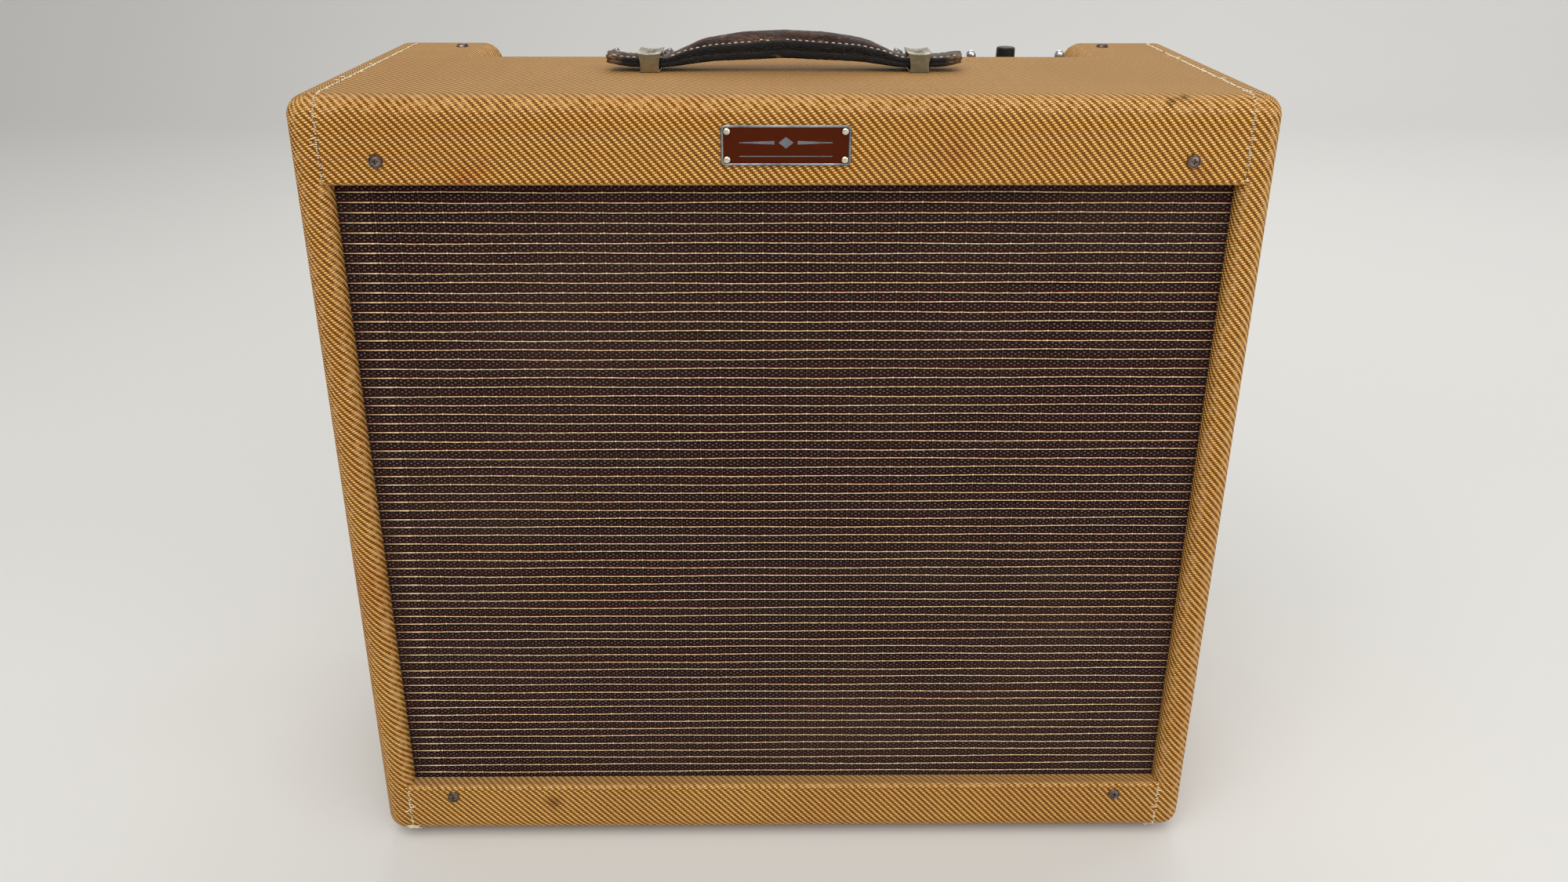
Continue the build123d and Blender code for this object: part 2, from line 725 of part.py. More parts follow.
with BuildPart() as chassis:
    add(
        box_between(
            (-CHASSIS_LENGTH / 2, CHASSIS_FRONT_Y, CHASSIS_BOTTOM_Z),
            (CHASSIS_LENGTH / 2, CHASSIS_BACK_Y, PANEL_Z),
        )
    )
    add(
        box_between(
            (-CHASSIS_LENGTH / 2 + SHEET, CHASSIS_FRONT_Y + SHEET, CHASSIS_BOTTOM_Z + SHEET),
            (CHASSIS_LENGTH / 2 - SHEET, CHASSIS_BACK_Y + SHEET, UNDER_PANEL_Z),
        ),
        mode=Mode.SUBTRACT,
    )
    with Locations(*[(x, CONTROL_Y, PANEL_Z) for x in (*JACK_X, *KNOB_X.values())]):
        Cylinder(BUSHING_R + LOOSE, 10, mode=Mode.SUBTRACT)
    with Locations(*[(x, CONTROL_Y, PANEL_Z) for x in (LAMP_X, STANDBY_X, FUSE_X, POWER_X)]):
        Cylinder(TOGGLE_BUSHING_R + LOOSE, 10, mode=Mode.SUBTRACT)
    with Locations(*chassis_screw_places):
        Cylinder(SHANK_HOLE_R, THROUGH, mode=Mode.SUBTRACT)
    with Locations(*[(x, SOCKET_Y, CHASSIS_BOTTOM_Z) for x in OCTAL_X]):
        Cylinder(OCTAL_HOLE_R, 10, mode=Mode.SUBTRACT)
    with Locations(*[(x, SOCKET_Y, CHASSIS_BOTTOM_Z) for x in PREAMP_VALVE_X]):
        Cylinder(MINIATURE_HOLE_R, 10, mode=Mode.SUBTRACT)
    with Locations(*[(x, GROMMET_Y, CHASSIS_BOTTOM_Z) for x in (CORD_X, CABLE_X)]):
        Cylinder(GROMMET_HOLE_R, 10, mode=Mode.SUBTRACT)
save(chassis.part, "chassis")

# ---- Controls ----

SHAFT_R = 3.1
RUNNING = 0.05
JACK_BORE_R = 3.2

pot_top = UNDER_PANEL_Z - PANEL_Z
pot_body = turned(
    [
        (SHAFT_R + RUNNING, 3.2),
        (BUSHING_R, 3.2),
        (BUSHING_R, pot_top),
        (12, pot_top),
        (12, pot_top - 9),
        (0, pot_top - 9),
        (0, pot_top - 7),
        (SHAFT_R + RUNNING, pot_top - 7),
    ]
)
with BuildPart() as potentiometer:
    add(pot_body)
    with Locations((0, -15, pot_top - 8)):
        Box(14, 8, 1)
control_places = {name: Pos(x, CONTROL_Y, PANEL_Z) for name, x in KNOB_X.items()}
save(copies(potentiometer.part, list(control_places.values())), "potentiometers")

KNOB_BASE_R = 9.75
KNOB_LOW = 4.0
KNOB_HIGH = 19.0
with BuildPart() as knob:
    with BuildSketch(Plane.XY.offset(KNOB_LOW)):
        Circle(KNOB_BASE_R)
    extrude(amount=4.5)
    fillet(knob.edges().group_by(Axis.Z)[-1], 1.2)
    with BuildSketch(Plane.XY.offset(KNOB_LOW)):
        with BuildLine():
            right = Polyline((3.8, -8.2), (4.1, 0), (0.9, 15))
            nose = ThreePointArc(right @ 1, (0, 15.8), (-0.9, 15))
            left = Polyline(nose @ 1, (-4.1, 0), (-3.8, -8.2))
            ThreePointArc(left @ 1, (0, -9.6), right @ 0)
        make_face()
    extrude(amount=KNOB_HIGH - KNOB_LOW, taper=3)
    with Locations((0, 0, KNOB_LOW)):
        Cylinder(SHAFT_R + RUNNING, 20, mode=Mode.SUBTRACT)
shaft = turned([(0, pot_top - 6.5), (SHAFT_R, pot_top - 6.5), (SHAFT_R, KNOB_LOW + 9), (0, KNOB_LOW + 9)])
for name, place in control_places.items():
    with BuildPart() as knob_and_shaft:
        with Locations(place):
            add([knob.part, shaft])
    save(knob_and_shaft.part, f"{name}_knob")

jack_tube = turned(
    [
        (JACK_BORE_R, 3.5),
        (BUSHING_R, 3.5),
        (BUSHING_R, pot_top),
        (7.5, pot_top),
        (7.5, pot_top - 2.5),
        (JACK_BORE_R, pot_top - 2.5),
    ]
)
with BuildPart() as input_jack:
    add(jack_tube)
    for side in (-1, 1):
        with Locations((side * 6.6, 0, pot_top - 2.5 - 11)):
            Box(1.0, 8, 22)
with BuildPart() as input_jacks:
    with Locations(*[Pos(x, CONTROL_Y, PANEL_Z) for x in JACK_X]):
        add(input_jack.part)
save(input_jacks.part, "input_jacks")

TOGGLE_PIVOT = -3.0
TOGGLE_HIGH = 19.6
TOGGLE_LEAN = 12.0
TOGGLE_BUSHING_HIGH = 5.5
STANDING = (Align.CENTER, Align.CENTER, Align.MIN)
with BuildPart() as toggle_switch:
    with Locations((0, 0, pot_top - 9)):
        Box(26, 14, 18)
    with Locations((0, 0, pot_top)):
        Cylinder(TOGGLE_BUSHING_R, TOGGLE_BUSHING_HIGH - pot_top, align=STANDING)
    with Locations((0, 0, TOGGLE_PIVOT - 5)):
        Cylinder(4.3, 20, align=STANDING, mode=Mode.SUBTRACT)
    for x in (-8, 0, 8):
        with Locations((x, 0, pot_top - 20)):
            Box(1, 5, 4)
toggle_places = [Pos(x, CONTROL_Y, PANEL_Z) for x in (STANDBY_X, POWER_X)]
save(copies(toggle_switch.part, toggle_places), "toggle_switches")

lever_length = (TOGGLE_HIGH - TOGGLE_PIVOT) / math.cos(math.radians(TOGGLE_LEAN))
with BuildPart() as lever:
    with BuildSketch(Plane.XZ):
        with BuildLine():
            stem = Polyline((0, lever_length), (0, -2.5), (2.2, -1.2), (2.2, 1.2), (1.5, 2.4), (1.6, 10))
            Spline(stem @ 1, (2.4, lever_length - 8), (3.3, lever_length - 3.5), (2.6, lever_length - 1.2))
            dome_arc(2.6, lever_length - 1.2, lever_length)
        make_face()
    revolve(axis=Axis.Z)
for name, x, lean in (("standby_lever", STANDBY_X, -TOGGLE_LEAN), ("power_lever", POWER_X, TOGGLE_LEAN)):
    save(copies(lever.part, [Pos(x, CONTROL_Y, PANEL_Z + TOGGLE_PIVOT) * Rot(0, lean, 0)]), name)

FUSE_R = 3.175
FUSE_TUBE_R = 4.2
FUSE_CAP_LOW = 4.0
fuse_holder_piece = turned(
    [
        (FUSE_TUBE_R, 3.5),
        (TOGGLE_BUSHING_R, 3.5),
        (TOGGLE_BUSHING_R, -42),
        (0, -42),
        (0, -39),
        (FUSE_TUBE_R, -39),
    ]
)
save(copies(fuse_holder_piece, [Pos(FUSE_X, CONTROL_Y, PANEL_Z)]), "fuse_holder")
fuse_piece = turned([(0, -36), (FUSE_R, -36), (FUSE_R, -4.25), (0, -4.25)])
save(copies(fuse_piece, [Pos(FUSE_X, CONTROL_Y, PANEL_Z)]), "fuse")
fuse_cap_body = turned(
    [
        (0, 21.6),
        (5.7, 21.6),
        (6.4, 20.8),
        (6.75, FUSE_CAP_LOW),
        (FUSE_TUBE_R - RUNNING, FUSE_CAP_LOW),
        (FUSE_TUBE_R - RUNNING, -9),
        (FUSE_R + RUNNING, -9),
        (FUSE_R + RUNNING, -4),
        (0, -4),
    ]
)
with BuildPart() as fuse_cap:
    add(fuse_cap_body)
    with PolarLocations(6.9, 24):
        Cylinder(0.35, 60, mode=Mode.SUBTRACT)
save(copies(fuse_cap.part, [Pos(FUSE_X, CONTROL_Y, PANEL_Z)]), "fuse_cap")

lamp_body = turned(
    [
        (0, -34),
        (5.5, -34),
        (5.5, -8),
        (TOGGLE_BUSHING_R, -8),
        (TOGGLE_BUSHING_R, 2.4),
        (8.2, 2.4),
        (8.2, 4.4),
        (6.4, 5.6),
        (4.6, 5.6),
        (4.6, -20),
        (3.0, -20),
        (3.0, -4),
        (0, -1),
    ]
)
save(copies(lamp_body, [Pos(LAMP_X, CONTROL_Y, PANEL_Z)]), "pilot_lamp")
with BuildPart() as jewel:
    with BuildSketch(Plane.XY.offset(5.6)):
        RegularPolygon(6.0, 10)
    with BuildSketch(Plane.XY.offset(11.5)):
        RegularPolygon(5.6, 10, rotation=18)
    with BuildSketch(Plane.XY.offset(15.7)):
        RegularPolygon(2.6, 10, rotation=18)
    loft(ruled=True)
save(copies(jewel.part, [Pos(LAMP_X, CONTROL_Y, PANEL_Z)]), "pilot_jewel")

# ---- Circuit board and its components ----

BOARD_Y = 56.0
BOARD_LOW = 432.0
BOARD_HIGH = 480.0
with BuildPart() as circuit_board:
    add(box_between((-205, BOARD_Y - 2.5, BOARD_LOW), (85, BOARD_Y, BOARD_HIGH)))
    with Locations(*[Pos(x, BOARD_Y, (BOARD_LOW + BOARD_HIGH) / 2) * Rot(90, 0, 0) for x in (-190, -60, 70)]):
        Cylinder(2.0, 20, mode=Mode.SUBTRACT)
save(circuit_board.part, "circuit_board")

capacitor = turned([(0, -14), (3, -14), (4.5, -12.5), (4.5, 12.5), (3, 14), (0, 14)])
resistor = turned([(0, -7), (1.8, -7), (2.2, -6), (2.2, 6), (1.8, 7), (0, 7)])
filter_can = turned([(0, -24), (10, -24), (11, -22), (11, 22), (10, 24), (0, 24)])
component_z = (BOARD_LOW + BOARD_HIGH) / 2
with BuildPart() as circuit_components:
    with Locations(*[Pos(-175 + 30 * i, BOARD_Y + 4.6, component_z) for i in range(8)]):
        add(capacitor)
    with Locations(*[Pos(-160 + 30 * i, BOARD_Y + 2.3, component_z) for i in range(7)]):
        add(resistor)
    with Locations(*[Pos(x, 70, 445) * Rot(0, 90, 0) for x in (125, 180)]):
        add(filter_can)
save(circuit_components.part, "circuit_components")

# ---- Valves and their sockets, hanging under the chassis ----

octal_socket = turned([(3, 4), (13.9, 4), (13.9, 0), (17, 0), (17, -2), (13, -2), (13, -6), (3, -6)])
miniature_socket = turned([(2, 4), (9.4, 4), (9.4, 0), (12, 0), (12, -1.5), (9, -1.5), (9, -5), (2, -5)])
with BuildPart() as valve_sockets:
    with Locations(*[(x, SOCKET_Y, CHASSIS_BOTTOM_Z) for x in OCTAL_X]):
        add(octal_socket)
    with Locations(*[(x, SOCKET_Y, CHASSIS_BOTTOM_Z) for x in PREAMP_VALVE_X]):
        add(miniature_socket)
save(valve_sockets.part, "valve_sockets")

octal_places = [Pos(x, SOCKET_Y, CHASSIS_BOTTOM_Z) for x in OCTAL_X]
preamp_places = [Pos(x, SOCKET_Y, CHASSIS_BOTTOM_Z) for x in PREAMP_VALVE_X]
valve_base = turned([(0, -6), (16, -6), (16.5, -8), (16.5, -22), (15.6, -23), (0, -23)])
save(copies(valve_base, octal_places), "valve_bases")
with BuildPart() as octal_bulb:
    with BuildSketch(Plane.XZ):
        with BuildLine():
            neck = Line((0, -23), (14.5, -23))
            Spline(neck @ 1, (14.8, -32), (20.5, -50), (21.5, -62), (17.5, -82), (14.5, -92), (13.5, -100))
            dome_arc(13.5, -100, -108)
            Line((0, -108), neck @ 0)
        make_face()
    revolve(axis=Axis.Z)
save(copies(octal_bulb.part, octal_places), "octal_valves")
with BuildPart() as miniature_valve:
    with BuildSketch(Plane.XZ):
        with BuildLine():
            side_line = Polyline((0, -5), (9, -5), (10.8, -8), (10.8, -46))
            shoulder = ThreePointArc(side_line @ 1, (8.6, -52), (2.2, -54.5))
            Polyline(shoulder @ 1, (1.2, -59), (0, -60), side_line @ 0)
        make_face()
    revolve(axis=Axis.Z)
save(copies(miniature_valve.part, preamp_places), "miniature_valves")

# ---- Transformers ----


def transformer(width, depth, height, bell):
    """Laminations with a rounded end bell on each side, hanging below height 0."""
    with BuildPart() as piece:
        with Locations((0, 0, -height / 2)):
            Box(width, depth - 2 * bell, height)
        for side in (-1, 1):
            with BuildSketch(Plane.XZ.offset(side * (depth / 2 - bell))):
                with Locations((0, -height / 2)):
                    RectangleRounded(width - 6, height - 6, 6)
            extrude(amount=side * bell, taper=12)
        fillet(piece.faces().sort_by(Axis.Y)[0].edges(), 2)
        fillet(piece.faces().sort_by(Axis.Y)[-1].edges(), 2)
    return piece.part


save(copies(transformer(86, 62, 76, 16), [Pos(186, SOCKET_Y - 2, CHASSIS_BOTTOM_Z)]), "power_transformer")
save(copies(transformer(62, 50, 54, 13), [Pos(-196, SOCKET_Y - 2, CHASSIS_BOTTOM_Z)]), "output_transformer")

# ---- Loudspeaker: turned about the axis through the baffle hole ----

speaker_front = Plane(
    origin=front_at(BAFFLE_BACK).from_local_coords((0, SPEAKER_UP, 0)), x_dir=(1, 0, 0), z_dir=UP_SLOPE
)
speaker_axis = Axis(speaker_front.origin, INWARDS)
speaker_face = Plane(origin=speaker_front.origin, x_dir=(1, 0, 0), z_dir=INWARDS)


def spun(outline):
    """A loudspeaker piece spun from a closed outline of (radius, depth behind the baffle) points."""
    with BuildPart() as piece:
        with BuildSketch(speaker_front):
            with BuildLine():
                Polyline(*outline, close=True)
            make_face()
        revolve(axis=speaker_axis)
    return piece.part


CONE_RIM_R = 150.0
RIM_DEPTH = 14.0
COIL_R = 25.4
COIL_GAP = 0.4
basket_outline = [
    (168, GASKET),
    (BASKET_R, GASKET),
    (BASKET_R, GASKET + FLANGE),
    (174, GASKET + FLANGE),
    (166, 22),
    (86, 78),
    (62, 80),
    (62, 96),
    (56, 96),
    (56, 78.5),
    (85, 76.5),
    (164, 20.5),
]
with BuildPart() as speaker_basket:
    add(spun(basket_outline))
    with BuildSketch(speaker_face):
        with PolarLocations(128, 8):
            RectangleRounded(52, 58, 14)
    extrude(amount=90, mode=Mode.SUBTRACT)
save(drilled(speaker_basket.part, SHANK_HOLE_R, speaker_bolt_places), "speaker_basket")
gasket_ring = spun([(171, 0), (191, 0), (191, GASKET), (171, GASKET)])
save(drilled(gasket_ring, SHANK_HOLE_R, speaker_bolt_places), "speaker_gasket")

POLE_R = 22.5
MAGNET_R = 60.0
BACK_PLATE_DEPTH = 140.0
top_plate = spun([(28, 96), (MAGNET_R, 96), (MAGNET_R, 102), (28, 102)])
magnet_ring = spun([(44, 102), (55, 102), (55, BACK_PLATE_DEPTH), (44, BACK_PLATE_DEPTH)])
pole_and_back_plate = spun(
    [
        (0, 94),
        (POLE_R, 94),
        (POLE_R, BACK_PLATE_DEPTH),
        (MAGNET_R, BACK_PLATE_DEPTH),
        (MAGNET_R, SPEAKER_DEPTH - 2),
        (MAGNET_R - 3, SPEAKER_DEPTH),
        (0, SPEAKER_DEPTH),
    ]
)
with BuildPart() as speaker_magnet:
    add([top_plate, magnet_ring, pole_and_back_plate])
save(speaker_magnet.part, "speaker_magnet")

surround_outline = [
    (CONE_RIM_R + COIL_GAP, RIM_DEPTH),
    (153, RIM_DEPTH + 3),
    (156, RIM_DEPTH - 1),
    (159, RIM_DEPTH + 3),
    (162, RIM_DEPTH - 1.5),
    (164, RIM_DEPTH - 1.5),
    (164, RIM_DEPTH - 0.5),
    (162.4, RIM_DEPTH - 0.5),
    (159, RIM_DEPTH + 4.2),
    (156, RIM_DEPTH + 0.2),
    (153, RIM_DEPTH + 4.2),
    (CONE_RIM_R + COIL_GAP, RIM_DEPTH + 1.2),
]
save(spun(surround_outline), "speaker_surround")
spider_outline = [
    (COIL_R + 1.2, 82),
    (34, 84),
    (42, 82),
    (50, 84),
    (56, 82),
    (56, 83),
    (50, 85),
    (42, 83),
    (34, 85),
    (COIL_R + 1.2, 83),
]
save(spun(spider_outline), "speaker_spider")
cone_neck_r = COIL_R + 0.9
save(
    spun([(cone_neck_r, 76), (CONE_RIM_R, RIM_DEPTH), (CONE_RIM_R, RIM_DEPTH + 1.2), (cone_neck_r, 77.6)]),
    "speaker_cone",
)
with BuildPart() as dust_cap:
    with BuildSketch(speaker_front):
        with BuildLine():
            front = dome_arc(43, 64.5, 49)
            back = dome_arc(42, 65.3, 50)
            Line(front @ 0, back @ 0)
            Line(front @ 1, back @ 1)
        make_face()
    revolve(axis=speaker_axis)
save(dust_cap.part, "speaker_dust_cap")
save(spun([(COIL_R - 0.4, 75), (COIL_R + 0.8, 75), (COIL_R + 0.8, 103), (COIL_R - 0.4, 103)]), "voice_coil")

# ---- Cables ----


def cable(points, radius, start_direction):
    """A round cable along a smooth line through the points."""
    with BuildPart() as piece:
        with BuildLine() as line:
            Spline(*points)
        with BuildSketch(Plane(origin=points[0], z_dir=start_direction)):
            Circle(radius)
        sweep(path=line.line)
    return piece.part


CORD_R = 3.4
CABLE_R = 2.4
COIL_X = CORD_X + 30.0
COIL_Y = 10.0
COIL_HALF_LENGTH = 70.0
COIL_HALF_DEPTH = 55.0
COIL_PITCH = 7.5
coil_z = FLOOR_Z + SKIN + CORD_R + 1
coil_turns = [
    (
        COIL_X - COIL_HALF_LENGTH * math.sin(math.radians(angle)),
        COIL_Y + COIL_HALF_DEPTH * math.cos(math.radians(angle)),
        coil_z + COIL_PITCH * angle / 360,
    )
    for angle in range(60, 660, 60)
]
cord_points = [
    (CORD_X, GROMMET_Y, CHASSIS_BOTTOM_Z + 8),
    (CORD_X, GROMMET_Y - 1, CHASSIS_BOTTOM_Z - 40),
    (CORD_X - 10, GROMMET_Y - 6, 260),
    (CORD_X - 30, GROMMET_Y - 14, 110),
    *reversed(coil_turns),
]
save(cable(cord_points, CORD_R, (0, 0, -1)), "power_cord")

cable_points = [
    (CABLE_X, GROMMET_Y, CHASSIS_BOTTOM_Z + 8),
    (CABLE_X, GROMMET_Y, CHASSIS_BOTTOM_Z - 30),
    (CABLE_X - 30, 80, 350),
    (CABLE_X - 46, 40, 320),
    (CABLE_X - 50, 6, 318),
]
save(cable(cable_points, CABLE_R, (0, 0, -1)), "speaker_cable")
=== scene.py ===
"""Looks of the tweed guitar amplifier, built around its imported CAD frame."""

import random
from math import acos, atan2, ceil, copysign, cos, floor, hypot, pi, radians, sin, sqrt, tan

import bpy
import numpy as np
from mathutils import Euler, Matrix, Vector, noise


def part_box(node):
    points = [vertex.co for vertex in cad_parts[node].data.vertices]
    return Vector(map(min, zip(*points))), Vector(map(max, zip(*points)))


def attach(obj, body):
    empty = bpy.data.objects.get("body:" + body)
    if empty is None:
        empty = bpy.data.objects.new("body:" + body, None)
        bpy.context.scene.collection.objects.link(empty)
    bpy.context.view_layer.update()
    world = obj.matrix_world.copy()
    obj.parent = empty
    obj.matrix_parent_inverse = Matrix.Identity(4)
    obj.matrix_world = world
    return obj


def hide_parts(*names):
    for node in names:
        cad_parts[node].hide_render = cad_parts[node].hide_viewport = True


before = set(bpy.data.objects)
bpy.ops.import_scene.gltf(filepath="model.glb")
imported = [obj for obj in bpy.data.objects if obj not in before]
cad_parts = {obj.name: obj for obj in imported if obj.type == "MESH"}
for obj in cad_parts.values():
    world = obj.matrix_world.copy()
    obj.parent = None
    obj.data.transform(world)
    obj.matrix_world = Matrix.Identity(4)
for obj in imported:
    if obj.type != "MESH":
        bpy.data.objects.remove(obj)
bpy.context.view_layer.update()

# ---- Driving dimensions, in metres unless a comment says otherwise ----

MM = 0.001
LEAN = atan2(25 * MM, 508 * MM)
EDGE_RADIUS = 12.7 * MM
SIDE_LIP_RADIUS = 8 * MM
PANEL_LIP_RADIUS = 3 * MM
SEAM_X = 260.5 * MM
WINDOW_LOW = 41.5 * MM
WINDOW_HIGH = 459 * MM

# Weaves. Thread pitches and how far threads wander are in millimetres of cloth
WEFT_PITCH = 1.206
WARP_PITCH = 1.11
TWEED_WANDER = 0.22
GRILLE_WEFT_PITCH = 1.2
GRILLE_WARP_PITCH = 1.1
GRILLE_WANDER = 0.10
DRIFT_SCALE = 22.0
WOBBLE_SCALE = 420.0
TWILL_REPEAT = 4.0
THREAD_SLANT = 0.35
THREAD_ROUNDNESS = 0.65

# How high the lower thread stands, as a share of the upper one
WARP_SHARE = 0.62
TALL_SHARE = 0.7

# Grille cloth, measured behind the front face and up its slope
CLOTH_DEPTH = 10.5 * MM
PILLOW = 0.25 * MM
SHEET_DEPTH = CLOTH_DEPTH + 0.75 * MM
CORD_DEPTH = CLOTH_DEPTH + 0.55 * MM
CORD_PITCH = 6.0 * MM
CORD_OFFSET = 3.5 * MM
CORD_MARGIN = 8 * MM
KNOT_PITCH = 13.2 * MM

# Cords: places along a cord from a knot thread and its radius there, in millimetres
KNOT_SHAPE = ((-1.45, 0.20), (-0.7, 0.25), (0.0, 0.60), (0.7, 0.25), (1.25, 0.20))
CORD_SHAPE = ((-2.8, 0.22), (-2.1, 0.46), *KNOT_SHAPE, (1.8, 0.38), (2.4, 0.22), (4.6, 0.30), (7.6, 0.31))

# Each wave has a height in millimetres, a length, and its share of the cord's own phase
CORD_WAVES = ((0.28, 55 * MM, 1.0), (0.16, 17 * MM, 2.3))
CORD_SAG = 0.16
CORD_UNEVEN = 0.03

# Seams, each at a side and an end of the cabinet
SEAMS = ((-1, -1), (-1, 1), (1, -1), (1, 1))
FIBRE_LIFT = 0.12 * MM
LONG_FIBRE = 2 * MM
LOOSE_HAIR_SHARE = 0.05
GROOVE_STEPS = 60

# Tufts of hairs on the lower seams: a side, a distance down from the window and a number of hairs
TUFTS = ((-1, 0.036, 26), (-1, 0.032, 10), (1, 0.040, 7))

# Nameplate. Each level is an inset from the outline and a depth, in millimetres
PLATE_THICKNESS = 1.5 * MM
PLATE_CORNER_RADIUS = 3.0 * MM
RIM_LEVELS = ((0.0, 0.0), (0.0, -0.9), (0.25, -1.35), (0.7, -1.5), (1.25, -1.42), (1.55, -1.1), (1.6, -0.9))
FIELD_LEVELS = ((1.5, -0.95), (3.0, -1.01), (6.0, -1.05))
FIELD_DEPTH = -0.95 * MM
ORNAMENT_HEIGHT = 0.22 * MM

# The ornament's outlines, in millimetres from the plate's middle
ORNAMENT = (
    ((0, -1.6), (4.2, 1.6), (0, 4.8), (-4.2, 1.6)),
    ((-6.5, 2.6), (-26, 1.85), (-26, 1.35), (-6.5, 0.6)),
    ((6.5, 0.6), (26, 1.35), (26, 1.85), (6.5, 2.6)),
    ((-26, -6.2), (26, -6.2), (26, -5.7), (-26, -5.7)),
)

# Strap. Each row is a distance from the middle and a height there, in millimetres
STRAP_UNDERSIDE = ((110, 5.7), (98, 3.3), (84, 2.6), (70, 2.9), (45, 6.4), (0, 8.3))
STRAP_SIDE = ((110, 5.2), (84, 5.9), (70, 6.3), (61, 8.5), (45, 9.6), (0, 11.0))
STRAP_TIP = ((110, 11.9), (104, 10.8), (96, 9.4), (84, 9.2))
STRAP_TOP = (*STRAP_TIP, (70, 9.4), (61, 14.0), (50, 19.0), (25, 23.0), (0, 24.1))
LEAST_CROWN = 0.7 * MM
STRAP_STEPS = 260
DOME_STEPS = 8
DOME_FULLNESS = 0.85
TORN_FROM = 0.955
TORN_RAG = 2.2 * MM

# The strap's side, each row an inset from its edge, a level, a lift in millimetres and a share of crown
SECTION_SIDE = (
    (1.6, "underside", 0.0, 0.0),
    (0.45, "underside", 0.45, 0.0),
    (0.0, "underside", 1.5, 0.0),
    (0.0, "middle", -0.7, 0.0),
    (0.55, "middle", 0.0, 0.0),
    (0.0, "middle", 0.7, 0.0),
    (0.0, "shoulder", -0.9, 0.0),
    (0.35, "shoulder", -0.2, 0.2),
    (1.2, "shoulder", 0.0, 0.4),
    (2.0, "shoulder", -0.3, 0.4),
    (3.1, "shoulder", -0.05, 0.8),
)

STITCH_PITCH = 3.9 * MM
STITCH_LENGTH = 2.1 * MM
STITCH_INSET = 2.3 * MM
STITCH_SHARE = 0.93
LOOSE_STITCH_SHARE = 0.04
STITCH_RADII = (0.22 * MM, 0.36 * MM, 0.38 * MM, 0.36 * MM, 0.22 * MM)
FIBRE_RADII = (0.3 * MM, 0.26 * MM, 0.18 * MM, 0.07 * MM)

# Dials and knobs. The sweep is in degrees
DIAL_KNOBS = ("volume_one", "volume_two", "treble", "bass", "presence")
DIAL_SWEEP = 300
FIGURE_REACH = 15.2 * MM
FIGURE_SIZE = 4.2 * MM
LINE_START = 2.0 * MM
LINE_LENGTH = 10.3 * MM
LINE_HALF_WIDTH = 0.42 * MM
LINE_STEPS = 12

# Stage. Each light has a name, its place, what it shines at, its size, its power in watts and its tint
FLOOR_HALF_WIDTH = 6.0
FLOOR_FRONT = -4.0
SWEEP_Y = 2.4
SWEEP_RADIUS = 1.2
LIGHTS = (
    ("key", (-0.6, -1.6, 2.7), (0.0, 0.0, 0.3), 2.6, 58, (1.0, 0.985, 0.95)),
    ("fill", (1.8, -1.9, 1.4), (0.0, 0.0, 0.3), 2.4, 29, (1.0, 0.99, 0.97)),
    ("back", (0.2, 1.8, 2.4), (0.0, 0.0, 0.4), 2.2, 24, (1.0, 0.99, 0.97)),
    ("wash", (2.6, 1.2, 2.6), (2.2, 3.6, 0.9), 1.6, 28, (1.0, 0.995, 0.99)),
)
ROOM_TINT = (1.0, 0.99, 0.97, 1.0)
ROOM_LIGHT = 0.46

# Camera. The lens and sensor are in millimetres, and the angles in radians
LENS_LENGTH = 27
SENSOR_WIDTH = 36
LENS_SHIFT = -0.0293
EYE_DOWN = 0.421
EYE_ROLL = -0.002
EYE_TURN = -0.009

# ---- The cabinet's own directions and faces, from the frame ----

skin_low, skin_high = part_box("tweed_left")
HALF_WIDTH = -skin_low.x
BASE_Z = skin_low.z
TOP_Z = skin_high.z
REAR_Y = skin_high.y
FRONT_Y = -REAR_Y
UP_SLOPE = Vector((0, sin(LEAN), cos(LEAN)))
INWARDS = Vector((0, cos(LEAN), -sin(LEAN)))
FRONT_ORIGIN = Vector((0, FRONT_Y, BASE_Z))
EYE = Vector((-7.3 * MM, FRONT_Y - 632.2 * MM, BASE_Z + 622.4 * MM))


def front_point(x, up, depth=0.0):
    """A point x to the right, up the front face's slope, and depth behind that face."""
    return FRONT_ORIGIN + Vector((x, 0, 0)) + UP_SLOPE * up + INWARDS * depth


def up_the_slope(z):
    """How far up the front face a height is."""
    return (z - BASE_Z) / cos(LEAN)


# ---- Meshes and pieces ----


def mesh_of(name, points, faces, smooth=True):
    """A mesh from its points and faces."""
    mesh = bpy.data.meshes.new(name)
    mesh.from_pydata([tuple(point) for point in points], [], faces)
    mesh.update()
    if smooth:
        mesh.shade_smooth()
    return mesh


def object_of(name, data):
    """A new object in the scene."""
    thing = bpy.data.objects.new(name, data)
    bpy.context.scene.collection.objects.link(thing)
    return thing


def piece_of(name, mesh, body, finish):
    """A visible piece that rides on a body."""
    piece = object_of(name, mesh)
    mesh.materials.clear()
    mesh.materials.append(finish)
    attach(piece, body)
    return piece


def write_weave(mesh, places):
    """Stores cloth positions, in millimetres, as the mesh's weave map."""
    weave = mesh.uv_layers.new(name="weave")
    weave.data.foreach_set("uv", np.array(places, dtype=np.float32).ravel())


def grid_faces(rows, columns, first=0):
    """Faces of a grid of points, laid row by row with columns + 1 points in each."""
    faces = []
    for j in range(rows):
        for i in range(columns):
            low = first + j * (columns + 1) + i
            faces.append((low, low + 1, low + columns + 2, low + columns + 1))
    return faces


def ring_faces(rings, around, first=0):
    """Faces between closed rings, each of around points."""
    faces = []
    for ring in range(rings - 1):
        low = first + ring * around
        for k in range(around):
            after = (k + 1) % around
            faces.append((low + k, low + after, low + around + after, low + around + k))
    return faces


